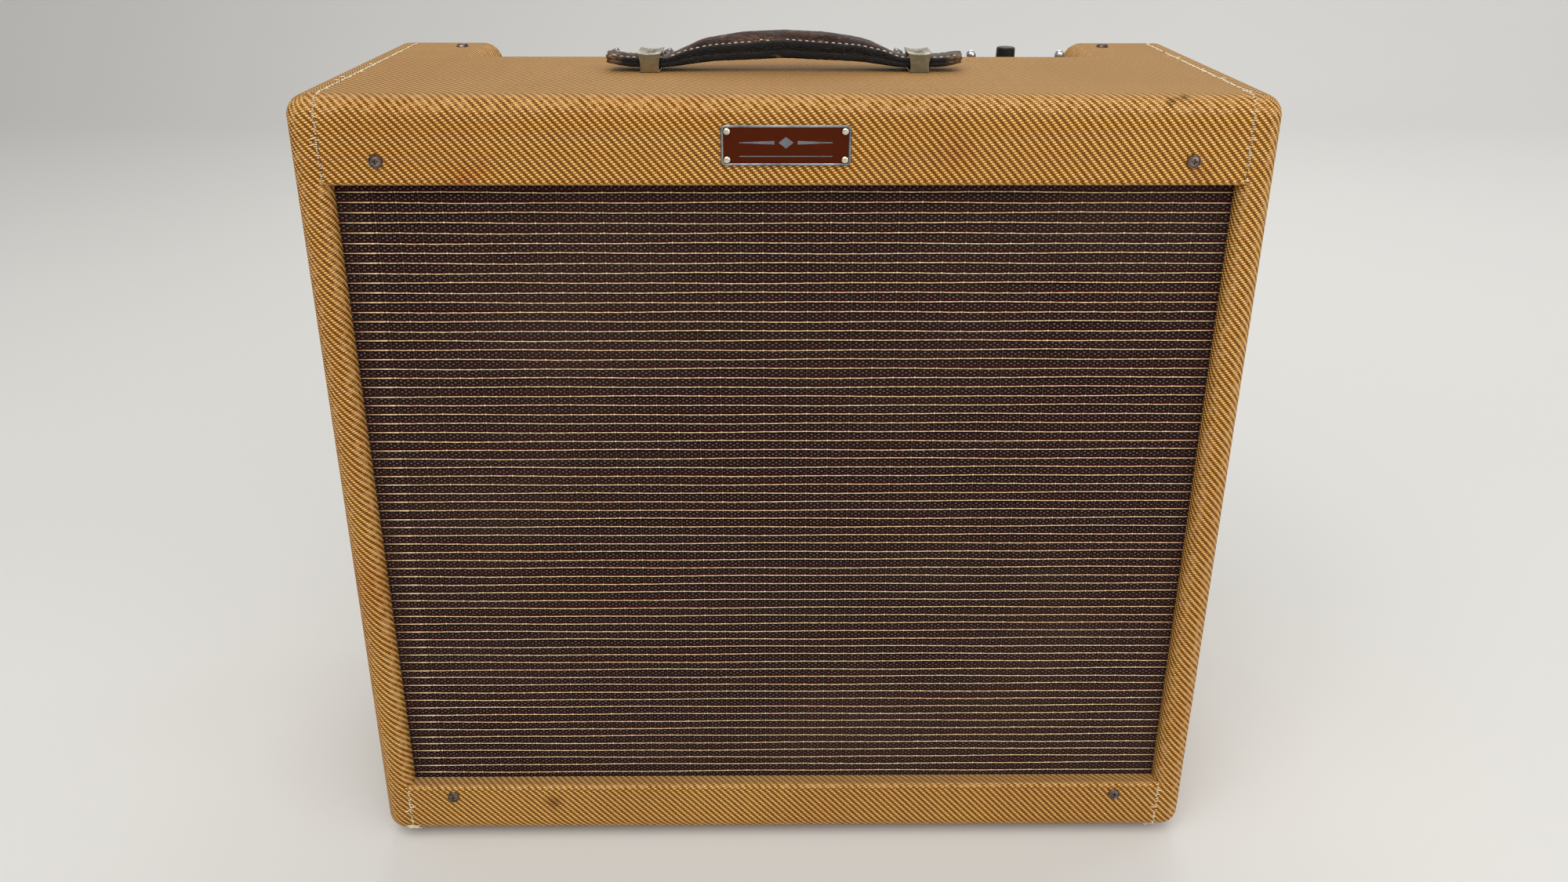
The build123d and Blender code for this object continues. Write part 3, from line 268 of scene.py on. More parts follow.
class Tubes:
    """Many thin tubes gathered into one mesh."""

    def __init__(self, sides):
        self.sides = sides
        self.points = []
        self.faces = []

    def add(self, path, radii):
        """One tube through the path's points, closed at both ends."""
        first = len(self.points)
        for i, centre in enumerate(path):
            heading = path[min(i + 1, len(path) - 1)] - path[max(i - 1, 0)]
            across = heading.orthogonal().normalized()
            other = heading.cross(across).normalized()
            for k in range(self.sides):
                turn = 2 * pi * k / self.sides
                rim = across * cos(turn) + other * sin(turn)
                self.points.append(centre + rim * radii[i])
        self.faces.extend(ring_faces(len(path), self.sides, first))
        last = len(self.points) - self.sides
        self.faces.append(tuple(reversed(range(first, first + self.sides))))
        self.faces.append(tuple(range(last, last + self.sides)))

    def mesh(self, name):
        """The gathered tubes."""
        return mesh_of(name, self.points, self.faces)


# ---- Finishes ----


def linear(code):
    """A linear colour from six hexadecimal digits."""
    shares = [int(code[i : i + 2], 16) / 255 for i in (0, 2, 4)]
    return tuple(s / 12.92 if s < 0.04045 else ((s + 0.055) / 1.055) ** 2.4 for s in shares) + (1.0,)


class Finish:
    """One procedural material, and short ways to add nodes to it."""

    def __init__(self, name, roughness=0.5, metallic=0.0, shine=0.5):
        self.material = bpy.data.materials.new(name)
        self.material.use_nodes = True
        self.tree = self.material.node_tree
        self.surface = self.tree.nodes["Principled BSDF"]
        self.set("Roughness", roughness)
        self.set("Metallic", metallic)
        self.set("Specular IOR Level", shine)
        self.place = self.node("TexCoord").outputs["Object"]

    def feed(self, socket, value):
        """Links a socket to another, or gives it a plain value or a colour code."""
        if isinstance(value, bpy.types.NodeSocket):
            self.tree.links.new(value, socket)
        else:
            socket.default_value = linear(value) if isinstance(value, str) else value

    def set(self, socket_name, value):
        """Feeds one of the surface's sockets."""
        self.feed(self.surface.inputs[socket_name], value)

    def node(self, kind, *values, **settings):
        """A new node with its settings, and its first inputs fed in order."""
        node = self.tree.nodes.new("ShaderNode" + kind)
        for key, value in settings.items():
            setattr(node, key, value)
        for socket, value in zip(node.inputs, values):
            if value is not None:
                self.feed(socket, value)
        return node

    def math(self, operation, *values):
        """A sum, product or other operation on plain numbers."""
        return self.node("Math", *values, operation=operation).outputs[0]

    def times(self, first, second):
        """The product of two plain numbers."""
        return self.math("MULTIPLY", first, second)

    def either(self, share, first, second):
        """The first number where share is 1, and the second where it is 0."""
        rest = self.math("SUBTRACT", 1.0, share)
        return self.math("ADD", self.times(share, first), self.times(rest, second))

    def clip(self, value, low, high, to_low=0.0, to_high=1.0):
        """A value stretched from one range onto another, and held inside it."""
        node = self.node("MapRange", value, low, high, to_low, to_high, interpolation_type="SMOOTHSTEP")
        return node.outputs[0]

    def window(self, value, start, full, drop, end):
        """1 while a value is between full and drop, falling to 0 at start and end."""
        return self.times(self.clip(value, start, full), self.clip(value, drop, end, 1.0, 0.0))

    def mix(self, share, first, second, blend="MIX"):
        """Two colours mixed."""
        node = self.node("Mix", share, data_type="RGBA", blend_type=blend)
        self.feed(node.inputs[6], first)
        self.feed(node.inputs[7], second)
        return node.outputs[2]

    def tones(self, value, low, high, first, second):
        """A blend from the first colour code to the second, as a value goes from low to high."""
        return self.mix(self.clip(value, low, high), first, second)

    def tinted(self, colour, mask, share, code, blend="MIX"):
        """A colour pulled by a share towards a colour code, where the mask is 1."""
        return self.mix(self.times(mask, share), colour, code, blend)

    def stretched(self, scale):
        """Object positions with each axis scaled, where a scale is given."""
        return self.node("Mapping", self.place, None, None, scale).outputs[0] if scale else self.place

    def noise(self, scale, detail=3.0, stretch=None):
        """Soft noise from 0 to 1, with scale features to the metre."""
        node = self.node("TexNoise", self.stretched(stretch))
        for socket_name, value in (("Scale", scale), ("Detail", detail), ("Roughness", 0.55)):
            node.inputs[socket_name].default_value = value
        return node.outputs[0]

    def cells(self, scale, stretch):
        """How far a point is from the edge of its cell."""
        node = self.node("TexVoronoi", self.stretched(stretch), feature="DISTANCE_TO_EDGE")
        node.inputs["Scale"].default_value = scale
        return node.outputs[0]

    def near(self, centre, radius, soft):
        """1 close to a point, falling to 0 between radius and radius plus soft, with a ragged rim."""
        gap = self.node("VectorMath", self.place, tuple(centre), operation="DISTANCE").outputs["Value"]
        ragged = self.math("MULTIPLY_ADD", self.noise(160.0), soft, gap)
        return self.clip(ragged, radius, radius + 1.5 * soft, 1.0, 0.0)

    def finished(self, colour, height, depth, strength, roughness=None):
        """The material, with its colour, its relief and, where it varies, its roughness."""
        bump = self.node("Bump")
        for socket_name, value in (("Height", height), ("Distance", depth), ("Strength", strength)):
            self.feed(bump.inputs[socket_name], value)
        self.set("Normal", bump.outputs[0])
        self.set("Base Color", colour)
        if roughness:
            self.set("Roughness", roughness)
        return self.material


class Weave(Finish):
    """A finish with cloth positions, and with the over-and-under of its threads."""

    def __init__(self, name, warp_pitch, weft_pitch, wander, **surface):
        super().__init__(name, **surface)
        spread = self.node("SeparateXYZ", self.node("UVMap", uv_map="weave").outputs[0])
        drift = self.math("MULTIPLY_ADD", self.noise(DRIFT_SCALE), 2 * wander, -wander)
        fine = self.math("MULTIPLY_ADD", self.noise(WOBBLE_SCALE, 2.0), wander, -wander / 2)
        shift = self.math("ADD", drift, fine)
        self.across = self.math("ADD", spread.outputs[0], shift)
        self.up = self.math("SUBTRACT", spread.outputs[1], shift)
        self.column = self.math("DIVIDE", self.across, warp_pitch)
        self.row = self.math("DIVIDE", self.up, weft_pitch)
        self.column_number = self.math("FLOOR", self.column)
        self.row_number = self.math("FLOOR", self.row)
        self.in_column = self.math("FRACT", self.column)
        self.in_row = self.math("FRACT", self.row)

    def bead(self, along, across, slant=0.0):
        """The rounded top of one thread where it lies uppermost, slanting across its own path."""
        across = self.math("SUBTRACT", across, self.math("MULTIPLY_ADD", along, slant, -slant / 2))
        across = self.math("MINIMUM", self.math("MAXIMUM", across, 0.0), 1.0)
        length_way = self.math("SINE", self.times(along, pi))
        width_way = self.math("SINE", self.times(across, pi))
        crown = self.math("MAXIMUM", self.times(length_way, width_way), 0.0)
        return self.math("POWER", crown, THREAD_ROUNDNESS)

    def twill(self):
        """(1 where the weft is uppermost, warp height, weft height) of a two-and-two twill."""
        warp_step = self.math("ADD", self.column_number, self.row)
        warp_phase = self.math("FLOORED_MODULO", warp_step, TWILL_REPEAT)
        weft_step = self.math("ADD", self.row_number, self.column)
        weft_phase = self.math("FLOORED_MODULO", weft_step, TWILL_REPEAT)
        weft_up = self.math("GREATER_THAN", warp_phase, TWILL_REPEAT / 2)
        warp_along = self.times(warp_phase, 2 / TWILL_REPEAT)
        weft_along = self.math("MULTIPLY_ADD", weft_phase, 2 / TWILL_REPEAT, -1.0)
        warp_height = self.bead(warp_along, self.in_column, THREAD_SLANT)
        weft_height = self.bead(weft_along, self.in_row, THREAD_SLANT)
        return weft_up, warp_height, weft_height

    def thread_tone(self, number, most, first, second):
        """A random tone for each thread: the first colour code, with at most a share of the second."""
        chance = self.node("TexWhiteNoise", noise_dimensions="1D")
        self.feed(chance.inputs["W"], number)
        return self.mix(self.times(chance.outputs[0], most), first, second)


def slot_of(material):
    """The slot that a material is for: its name without Blender's number."""
    return material.name.split(".")[0]


# Each stain has its middle, its radius, how far it fades, its tone and its share
STAINS = (
    (front_point(-0.182, 0.463), 0.003, 0.010, "E09A58", 0.50),
    (front_point(-0.170, 0.470), 0.002, 0.009, "E0A060", 0.35),
    (front_point(-0.161, 0.028), 0.002, 0.008, "8A5A48", 0.65),
    (front_point(0.214, up_the_slope(TOP_Z) - 0.001, 0.003), 0.001, 0.005, "2A140A", 0.95),
    (front_point(0.222, up_the_slope(TOP_Z) - 0.001, 0.006), 0.001, 0.004, "5A3420", 0.80),
    (front_point(0.095, 0.478), 0.002, 0.014, "D9A06A", 0.35),
    (front_point(0.235, 0.466), 0.002, 0.010, "C98A5A", 0.35),
    (front_point(-0.2665, 0.20), 0.010, 0.030, "E0A85C", 0.35),
)


def tweed_finish():
    """Lacquered diagonal twill, yellowed, worn on its edges and stained in a few places, with painted shade
    between its threads and its upward faces painted a paler tan as painted light.
    """
    finish = Weave("tweed", WARP_PITCH, WEFT_PITCH, TWEED_WANDER, shine=0.15)
    weft_up, warp_height, weft_height = finish.twill()
    height = finish.either(weft_up, weft_height, finish.times(warp_height, WARP_SHARE))
    weft_tone = finish.thread_tone(finish.row_number, 0.5, "FFDA88", "F2B858")
    # Painted shade: each thread falls to a deep brown where its bead is low, between the threads.
    weft_colour = finish.mix(weft_height, "8C500A", weft_tone)
    warp_tone = finish.thread_tone(finish.column_number, 0.6, "A46718", "7C440A")
    warp_colour = finish.mix(warp_height, "3A1A02", warp_tone)
    cloth = finish.mix(weft_up, warp_colour, weft_colour)
    broad = finish.clip(finish.noise(7.0, 4.0), 0.35, 0.7)
    cloth = finish.tinted(cloth, broad, 0.18, "B87326", "MULTIPLY")
    facing = finish.node("SeparateXYZ", finish.node("NewGeometry").outputs["Normal"])
    upward = finish.clip(facing.outputs[2], 0.75, 0.99)
    # Painted light: faces that look up are pulled towards a paler tan, the way the top looks when seen at a
    # grazing angle.
    cloth = finish.tinted(cloth, upward, 0.36, "A07F5A")
    flatness = finish.math("ABSOLUTE", facing.outputs[0])
    for axis in (1, 2):
        flatness = finish.math("MAXIMUM", flatness, finish.math("ABSOLUTE", facing.outputs[axis]))
    rounded = finish.clip(flatness, 0.90, 0.995, 1.0, 0.0)
    rubbed = finish.times(rounded, finish.clip(finish.noise(260.0, 4.0), 0.42, 0.62))
    cloth = finish.tinted(cloth, rubbed, 0.28, "E0B078")
    specks = finish.times(finish.clip(finish.noise(900.0, 2.0), 0.66, 0.74), upward)
    cloth = finish.tinted(cloth, specks, 0.6, "4A3420")
    for place, radius, soft, tone, share in STAINS:
        cloth = finish.tinted(cloth, finish.near(place, radius, soft), share, tone, "MULTIPLY")
    roughness = finish.clip(height, 0.0, 1.0, 0.78, 0.52)
    return finish.finished(cloth, height, 0.45 * MM, 0.8, roughness)


def grille_finish():
    """Dark basket weave with a maroon thread above each cord and dark threads at the knots; its threads are
    painted lit midway between cords and shaded near them, with painted shade between the threads and a
    painted shadow just under each cord.
    """
    pitches = (GRILLE_WARP_PITCH, GRILLE_WEFT_PITCH)
    finish = Weave("grille_cloth", *pitches, GRILLE_WANDER, roughness=0.85, shine=0.08)
    pairs = finish.times(finish.column, 0.5)
    step = finish.math("ADD", finish.math("FLOOR", pairs), finish.row_number)
    turn = finish.math("FLOORED_MODULO", step, 2.0)
    flat_thread = finish.bead(finish.math("FRACT", pairs), finish.in_row)
    tall_thread = finish.bead(finish.in_row, finish.in_column)
    height = finish.either(turn, flat_thread, finish.times(tall_thread, TALL_SHARE))
    above_cord = finish.math("FLOORED_MODULO", finish.up, CORD_PITCH / MM)
    # Painted light: the threads are lit midway between cords and shaded near them.
    lit_thread = finish.mix(turn, "3E2A26", "6F5750")
    shaded_thread = finish.mix(turn, "200B09", "40201B")
    thread = finish.mix(finish.window(above_cord, 1.2, 1.9, 4.5, 5.2), shaded_thread, lit_thread)
    # Painted shade: near black where a thread's bead is low, between the threads.
    cloth = finish.mix(finish.clip(height, 0.30, 0.90), "0A0302", thread)
    cloth = finish.tinted(cloth, finish.window(above_cord, 0.55, 0.8, 1.25, 1.5), 0.65, "4A0C0E")
    # Painted shadow: a dark band on the cloth just under each cord.
    cloth = finish.tinted(cloth, finish.clip(above_cord, 5.0, 5.3), 0.7, "0E0605")
    from_knot = finish.math("PINGPONG", finish.across, KNOT_PITCH / MM / 2)
    cloth = finish.tinted(cloth, finish.window(from_knot, 0.35, 0.6, 1.1, 1.6), 0.75, "120606")
    cloth = finish.tinted(cloth, finish.clip(from_knot, 0.2, 0.45, 1.0, 0.0), 0.6, "4E362B")
    cloth = finish.tinted(cloth, finish.clip(finish.noise(5.0), 0.4, 0.7), 0.12, "5A4436")
    return finish.finished(cloth, height, 0.35 * MM, 0.8)


def thread_finish(name, light, dark):
    """Spun cotton: two tones, with a fine twist."""
    finish = Finish(name, roughness=0.85)
    twist = finish.noise(900.0, 3.0)
    return finish.finished(finish.tones(twist, 0.35, 0.65, dark, light), twist, 0.1 * MM, 0.6)


def leather_finish():
    """Cracked black leather, rubbed through to brown on its crown, tips and a few scuffs."""
    finish = Finish("leather", shine=0.3)
    crown = finish.node("Attribute", attribute_name="crown").outputs["Fac"]
    tip = finish.node("Attribute", attribute_name="tip").outputs["Fac"]
    cracks = finish.cells(620.0, (0.32, 1.0, 1.5))
    smooth = finish.clip(cracks, 0.02, 0.16)
    grain = finish.noise(700.0, 4.0)
    black = finish.mix(grain, "030202", "100D0B")
    patches = finish.noise(70.0, 5.0, (0.5, 1.0, 1.6))
    side = finish.tinted(black, finish.clip(patches, 0.62, 0.70), 0.75, "8A6A48")
    streaks = finish.noise(120.0, 4.0, (0.22, 1.0, 1.0))
    brown = finish.tones(streaks, 0.35, 0.65, "2C1510", "5E4132")
    rubbed = finish.noise(160.0, 3.0, (0.5, 1.0, 1.0))
    brown = finish.tinted(brown, finish.clip(rubbed, 0.58, 0.72), 0.7, "806A58")
    skin = finish.mix(finish.clip(crown, 0.15, 0.75), side, brown)
    tip_tone = finish.tones(finish.noise(240.0), 0.4, 0.6, "2A1A12", "A07B55")
    skin = finish.mix(finish.times(tip, 0.65), skin, tip_tone)
    skin = finish.tinted(skin, finish.math("SUBTRACT", 1.0, smooth), 0.6, "050404")
    height = finish.math("MULTIPLY_ADD", grain, 0.35, smooth)
    roughness = finish.clip(patches, 0.3, 0.7, 0.42, 0.75)
    return finish.finished(skin, height, 0.35 * MM, 0.9, roughness)


def metal_finish(name, bright, dull, roughness, wear_scale=60.0, tarnish=0.5, grime_and_shade="2A241C"):
    """Plated metal with cloudy tarnish, fine scratches, rougher dull patches, and grime and painted shade in
    its corners where ambient occlusion darkens them.
    """
    finish = Finish(name, metallic=1.0)
    cloud = finish.noise(wear_scale, 5.0)
    scratch = finish.noise(700.0, 2.0, (0.12, 1.0, 1.0))
    tone = finish.tinted(bright, finish.clip(cloud, 0.42, 0.68), tarnish, dull)
    tone = finish.tinted(tone, finish.clip(scratch, 0.55, 0.75), 0.3, dull)
    # Grime and painted shade: the colour goes dark wherever ambient occlusion finds a corner or recess.
    corners = finish.node("AmbientOcclusion", samples=6)
    corners.inputs["Distance"].default_value = 1.2 * MM
    open_air = finish.clip(corners.outputs["AO"], 0.25, 0.85)
    tone = finish.mix(open_air, grime_and_shade, tone)
    roughness = finish.clip(cloud, 0.3, 0.75, roughness, min(roughness + 0.3, 0.9))
    return finish.finished(tone, scratch, 0.02 * MM, 0.2, roughness)


def wood_finish(name, light, dark, across, stretch):
    """Planed wood: long grain, with darker late growth from board edge to board edge and a little figure."""
    finish = Finish(name, roughness=0.7)
    rings = finish.node("TexWave", finish.stretched(stretch), wave_type="BANDS", bands_direction=across)
    for socket_name, value in (("Scale", 22.0), ("Distortion", 2.6), ("Detail", 3.0), ("Detail Scale", 0.6)):
        rings.inputs[socket_name].default_value = value
    pores = finish.noise(220.0, 4.0, stretch)
    tone = finish.tinted(light, finish.clip(rings.outputs["Fac"], 0.3, 1.0), 0.45, dark)
    tone = finish.tinted(tone, finish.clip(pores, 0.55, 0.75), 0.5, dark)
    return finish.finished(tone, pores, 0.2 * MM, 0.5)


def moulded_finish(name, main, worn, roughness, fleck=350.0, share=0.35, shine=0.5):
    """Moulded plastic, paint or rubber: slight mottle, rubbed patches and fine dimples."""
    finish = Finish(name, shine=shine)
    mottle = finish.noise(fleck, 4.0)
    patches = finish.noise(45.0, 4.0)
    tone = finish.tinted(main, finish.clip(mottle, 0.4, 0.7), share, worn)
    tone = finish.tinted(tone, finish.clip(patches, 0.55, 0.75), share, worn)
    roughness = finish.clip(patches, 0.3, 0.7, roughness, min(roughness + 0.2, 0.95))
    return finish.finished(tone, mottle, 0.12 * MM, 0.4, roughness)


def glass_finish(name, tint, roughness=0.04):
    """Clear or tinted glass with a faint haze."""
    finish = Finish(name)
    finish.set("Base Color", tint)
    finish.set("Transmission Weight", 0.94)
    finish.set("IOR", 1.45)
    finish.set("Roughness", finish.clip(finish.noise(120.0), 0.4, 0.8, roughness, roughness + 0.12))
    return finish.material


def ribbed_finish(name, main, light, spacing, centre):
    """Paper or varnished cloth pressed into rings around an axis through centre, the crests of its rings
    painted lighter as painted light.
    """
    finish = Finish(name, roughness=0.8)
    offset = finish.node("VectorMath", finish.place, tuple(centre), operation="SUBTRACT").outputs[0]
    flat = finish.node("VectorMath", offset, (1.0, 0.0, 1.0), operation="MULTIPLY").outputs[0]
    reach = finish.node("VectorMath", flat, operation="LENGTH").outputs["Value"]
    rings = finish.math("SINE", finish.times(reach, 2 * pi / spacing))
    ridge = finish.math("MULTIPLY_ADD", rings, 0.5, 0.5)
    pulp = finish.noise(500.0, 5.0)
    tone = finish.tones(pulp, 0.35, 0.7, main, light)
    height = finish.math("MULTIPLY_ADD", pulp, 0.3, ridge)
    # Painted light: the crests of the rings are pulled towards the light tone, and the troughs are left
    # darker.
    return finish.finished(finish.tinted(tone, ridge, 0.3, light), height, 0.4 * MM, 0.7)


def component_finish():
    """Waxed paper and plastic bodies, each in one of a few tones."""
    finish = Finish("component_body", roughness=0.45)
    blocks = finish.node("VectorMath", finish.stretched((55.0, 0.0, 45.0)), operation="FLOOR")
    ramp = finish.node("ValToRGB", finish.node("TexWhiteNoise", blocks.outputs[0]).outputs[0])
    ramp.color_ramp.interpolation = "CONSTANT"
    ramp.color_ramp.elements[0].color = linear("C08A2E")
    ramp.color_ramp.elements[1].color = linear("7A4A22")
    ramp.color_ramp.elements[1].position = 0.45
    ramp.color_ramp.elements.new(0.75).color = linear("B8A888")
    wax = finish.noise(260.0, 4.0)
    tone = finish.tinted(ramp.outputs[0], finish.clip(wax, 0.4, 0.8), 0.4, "3A2A18")
    return finish.finished(tone, wax, 0.15 * MM, 0.4)


coil_low, coil_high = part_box("voice_coil")
SPEAKER_CENTRE = (coil_low + coil_high) / 2

FINISHES = {
    slot_of(material): material
    for material in (
        tweed_finish(),
        grille_finish(),
        leather_finish(),
        wood_finish("pine", "D8B27A", "A87438", "Y", (0.12, 1.0, 0.12)),
        wood_finish("plywood", "C9A26C", "8E6536", "X", (1.0, 1.0, 0.12)),
        metal_finish("nickel", "A09A84", "565040", 0.18, 120.0, 0.6),
        metal_finish("aged_steel", "8A7A72", "35241C", 0.24, 160.0, 0.8, "080403"),
        metal_finish("chrome", "C8C8CC", "76767A", 0.10, 60.0, 0.35),
        metal_finish("chassis_chrome", "A8A8AA", "6E6C68", 0.24, 30.0, 0.6),
        metal_finish("brass", "E4DDC6", "8A8064", 0.20, 200.0, 0.4),
        moulded_finish("enamel_plate", "451703", "501B05", 0.35, 500.0, 0.3, 0.06),
        moulded_finish("black_plastic", "060607", "1C1A19", 0.35, shine=0.35),
        moulded_finish("bakelite", "3A2014", "5E3A26", 0.35),
        moulded_finish("fibre_board", "17140F", "3A3226", 0.6, 600.0, 0.5),
        moulded_finish("transformer_black", "0E0E10", "2A2A2C", 0.4, 250.0),
        moulded_finish("basket_paint", "5E6A76", "8A949C", 0.42, 420.0, 0.6),
        moulded_finish("magnet_paint", "454C54", "727A82", 0.42, 420.0, 0.6),
        moulded_finish("cork", "8A6A42", "4E3820", 0.85, 500.0, 0.8),
        moulded_finish("coil_form", "A87C48", "6E4A24", 0.6, 800.0, 0.6),
        moulded_finish("black_rubber", "0C0C0C", "262422", 0.62, 500.0),
        ribbed_finish("paper_cone", "1A1816", "3A3632", 9 * MM, SPEAKER_CENTRE),
        ribbed_finish("spider_cloth", "8A6230", "B88E50", 5 * MM, SPEAKER_CENTRE),
        component_finish(),
        glass_finish("valve_glass", "DCE2DE"),
        glass_finish("jewel_glass", "C0121A", 0.02),
        glass_finish("fuse_glass", "DCE4E2"),
    )
}

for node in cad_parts.values():
    for material_slot in node.material_slots:
        material_slot.material = FINISHES[slot_of(material_slot.material)]

# ---- Tweed: each skin again, with its cloth's own positions laid round every edge ----


def core_front_y(z, radius):
    """The line at one radius behind the front face, at a height."""
    lean_back = (z - BASE_Z) * tan(LEAN)
    return FRONT_Y + lean_back + radius / cos(LEAN)


def bend_height(end):
    """The height of the axis that the top (end 1) or bottom (end -1) edges bend round."""
    return TOP_Z - EDGE_RADIUS if end > 0 else BASE_Z + EDGE_RADIUS


def depth_behind_front(point):
    """How far a point is behind the front face."""
    return (point - FRONT_ORIGIN).dot(INWARDS)


def flat_weave(point, normal, end):
    """Cloth position on the top (end 1) or bottom (end -1) piece."""
    facing_front = -normal.dot(INWARDS)
    facing_end = end * normal.z
    facing_window = -end * normal.dot(UP_SLOPE)
    if facing_window > 0.02 and facing_front > -0.02:
        turn = atan2(facing_window, facing_front)
        core = point - PANEL_LIP_RADIUS * normal
        sunk = depth_behind_front(core) - PANEL_LIP_RADIUS
        along = up_the_slope(core.z) * end - PANEL_LIP_RADIUS * turn - sunk
        return point.x, end * along
    core = point - EDGE_RADIUS * normal
    end_z = bend_height(end)
    behind = core.y - core_front_y(core.z, EDGE_RADIUS)
    if normal.y > 0.5:
        length = up_the_slope(end_z) * end + behind + EDGE_RADIUS * pi / 2
        turn = atan2(normal.y, max(facing_end, 0.0))
        return core.x, end * (length + EDGE_RADIUS * turn + abs(end_z - core.z))
    turn = acos(max(-1.0, min(1.0, facing_front))) if facing_end > -0.5 else 0.0
    sideways = atan2(normal.x, max(facing_end, 1e-6)) if abs(normal.x) > 0.02 else 0.0
    drop = abs(end_z - core.z) if abs(normal.x) > 0.9 else 0.0
    across = core.x + EDGE_RADIUS * sideways + copysign(drop, normal.x)
    if abs(normal.x) > 0.9:
        core.z = end_z
        turn = pi / 2
    return across, end * (up_the_slope(core.z) * end + behind + EDGE_RADIUS * turn)


def side_weave(point, normal, side):
    """Cloth position on the left (side -1) or right (side 1) piece."""
    facing_out = side * normal.x
    if facing_out < -0.02 and abs(normal.z) < 0.5:
        turn = atan2(-facing_out, max(-normal.dot(INWARDS), 0.0))
        core = point - SIDE_LIP_RADIUS * normal
        sunk = depth_behind_front(core) - SIDE_LIP_RADIUS
        return side * (abs(core.x) - SIDE_LIP_RADIUS * turn - sunk), point.z
    core = point - EDGE_RADIUS * normal
    corner_x = HALF_WIDTH - EDGE_RADIUS
    behind = core.y - core_front_y(core.z, EDGE_RADIUS)
    level = hypot(normal.x, normal.y)
    rise = atan2(normal.z, level)
    if level < 0.05:
        along = corner_x + EDGE_RADIUS * pi / 2 + behind
        folded = EDGE_RADIUS * pi / 2 + corner_x - abs(core.x)
        return side * along, core.z + copysign(folded, normal.z)
    turn = atan2(facing_out, -normal.y)
    inward = corner_x - abs(core.x)
    travelled = abs(core.x) + behind if normal.y < 0.5 else corner_x + behind + inward
    return side * (travelled + EDGE_RADIUS * turn), core.z + EDGE_RADIUS * rise


def panel_weave(point, normal):
    """Cloth position on the back panels."""
    if abs(normal.y) > 0.7:
        return -point.x, point.z
    if abs(normal.x) > 0.7:
        return -point.x + point.y, point.z
    return -point.x, point.z + point.y


def covered_in_tweed(node_name, place_of, *end):
    """Lays tweed over a skin: the node's own surface with the cloth's positions on it."""
    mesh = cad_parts[node_name].data.copy()
    places = []
    corner_normals = mesh.corner_normals
    for polygon in mesh.polygons:
        for loop_index in polygon.loop_indices:
            point = mesh.vertices[mesh.loops[loop_index].vertex_index].co
            normal = Vector(corner_normals[loop_index].vector)
            across, up = place_of(point.copy(), normal, *end)
            places.append((across / MM, up / MM))
    write_weave(mesh, places)
    piece = piece_of(node_name.replace("tweed", "cloth"), mesh, "cabinet", FINISHES["tweed"])
    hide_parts(node_name)


covered_in_tweed("tweed_top", flat_weave, 1)
covered_in_tweed("tweed_bottom", flat_weave, -1)
covered_in_tweed("tweed_left", side_weave, -1)
covered_in_tweed("tweed_right", side_weave, 1)
covered_in_tweed("tweed_back_panels", panel_weave)

# ---- Grille cloth: a sheet pillowed between its threads, and cream cords knotted to it ----

cloth_low, cloth_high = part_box("grille_cloth")
CLOTH_HALF_WIDTH = cloth_high.x
CLOTH_LOW = up_the_slope(cloth_low.z) + 1.5 * MM
CLOTH_HIGH = up_the_slope(cloth_high.z) - 1.0 * MM


def grille_sheet():
    """The stretched cloth, its cells swelling a little between cords and knot threads."""
    columns = round(2 * CLOTH_HALF_WIDTH / (KNOT_PITCH / 2))
    rows = round((CLOTH_HIGH - CLOTH_LOW) / (CORD_PITCH / 4))
    points = []
    places = []
    for j in range(rows + 1):
        up = CLOTH_LOW + (CLOTH_HIGH - CLOTH_LOW) * j / rows
        for i in range(columns + 1):
            x = -CLOTH_HALF_WIDTH + 2 * CLOTH_HALF_WIDTH * i / columns
            from_cord = abs(sin(pi * (up - CORD_OFFSET) / CORD_PITCH))
            from_knot = abs(sin(pi * x / KNOT_PITCH))
            swell = from_cord * (0.6 + 0.4 * from_knot)
            points.append(front_point(x, up, SHEET_DEPTH - PILLOW * swell))
            places.append((x / MM, (up - CORD_OFFSET) / MM))
    mesh = mesh_of("grille_sheet", points, grid_faces(rows, columns))
    write_weave(mesh, [places[loop.vertex_index] for loop in mesh.loops])
    return mesh


def grille_cords(chance):
    """Cream cords up the whole cloth, slightly wavy, each with a knot and two beads at every knot thread."""
    cords = Tubes(5)
    knots = floor((CLOTH_HALF_WIDTH - CORD_MARGIN) / KNOT_PITCH)
    first = ceil((CLOTH_LOW - CORD_OFFSET) / CORD_PITCH)
    last = floor((CLOTH_HIGH - CORD_OFFSET) / CORD_PITCH)
    for row in range(first, last + 1):
        wave = chance.uniform(0, 2 * pi)
        path = []
        radii = []
        for knot in range(-knots, knots + 1):
            for shift, radius in CORD_SHAPE:
                x = knot * KNOT_PITCH + shift * MM
                wander = sum(size * sin(x / length + turn * wave) for size, length, turn in CORD_WAVES)
                sag = -CORD_SAG * sin(pi * (x % KNOT_PITCH) / KNOT_PITCH)
                up = CORD_OFFSET + row * CORD_PITCH + (wander + sag) * MM
                path.append(front_point(x, up, CORD_DEPTH))
                radii.append((radius + CORD_UNEVEN * chance.random()) * MM)
        for side in (0, -1):
            path[side].x = copysign(CLOTH_HALF_WIDTH, path[side].x)
        cords.add(path, radii)
    return cords.mesh("grille_cords")


cloth_sheet = piece_of("grille_weave", grille_sheet(), "cabinet", FINISHES["grille_cloth"])
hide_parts("grille_cloth")
CREAM = thread_finish("cream_thread", "EBD6AE", "B99E74")
piece_of("grille_cords", grille_cords(random.Random(11)), "cabinet", CREAM)

# ---- Frayed seams: weft ends and loose hairs where the side and end pieces of tweed meet ----


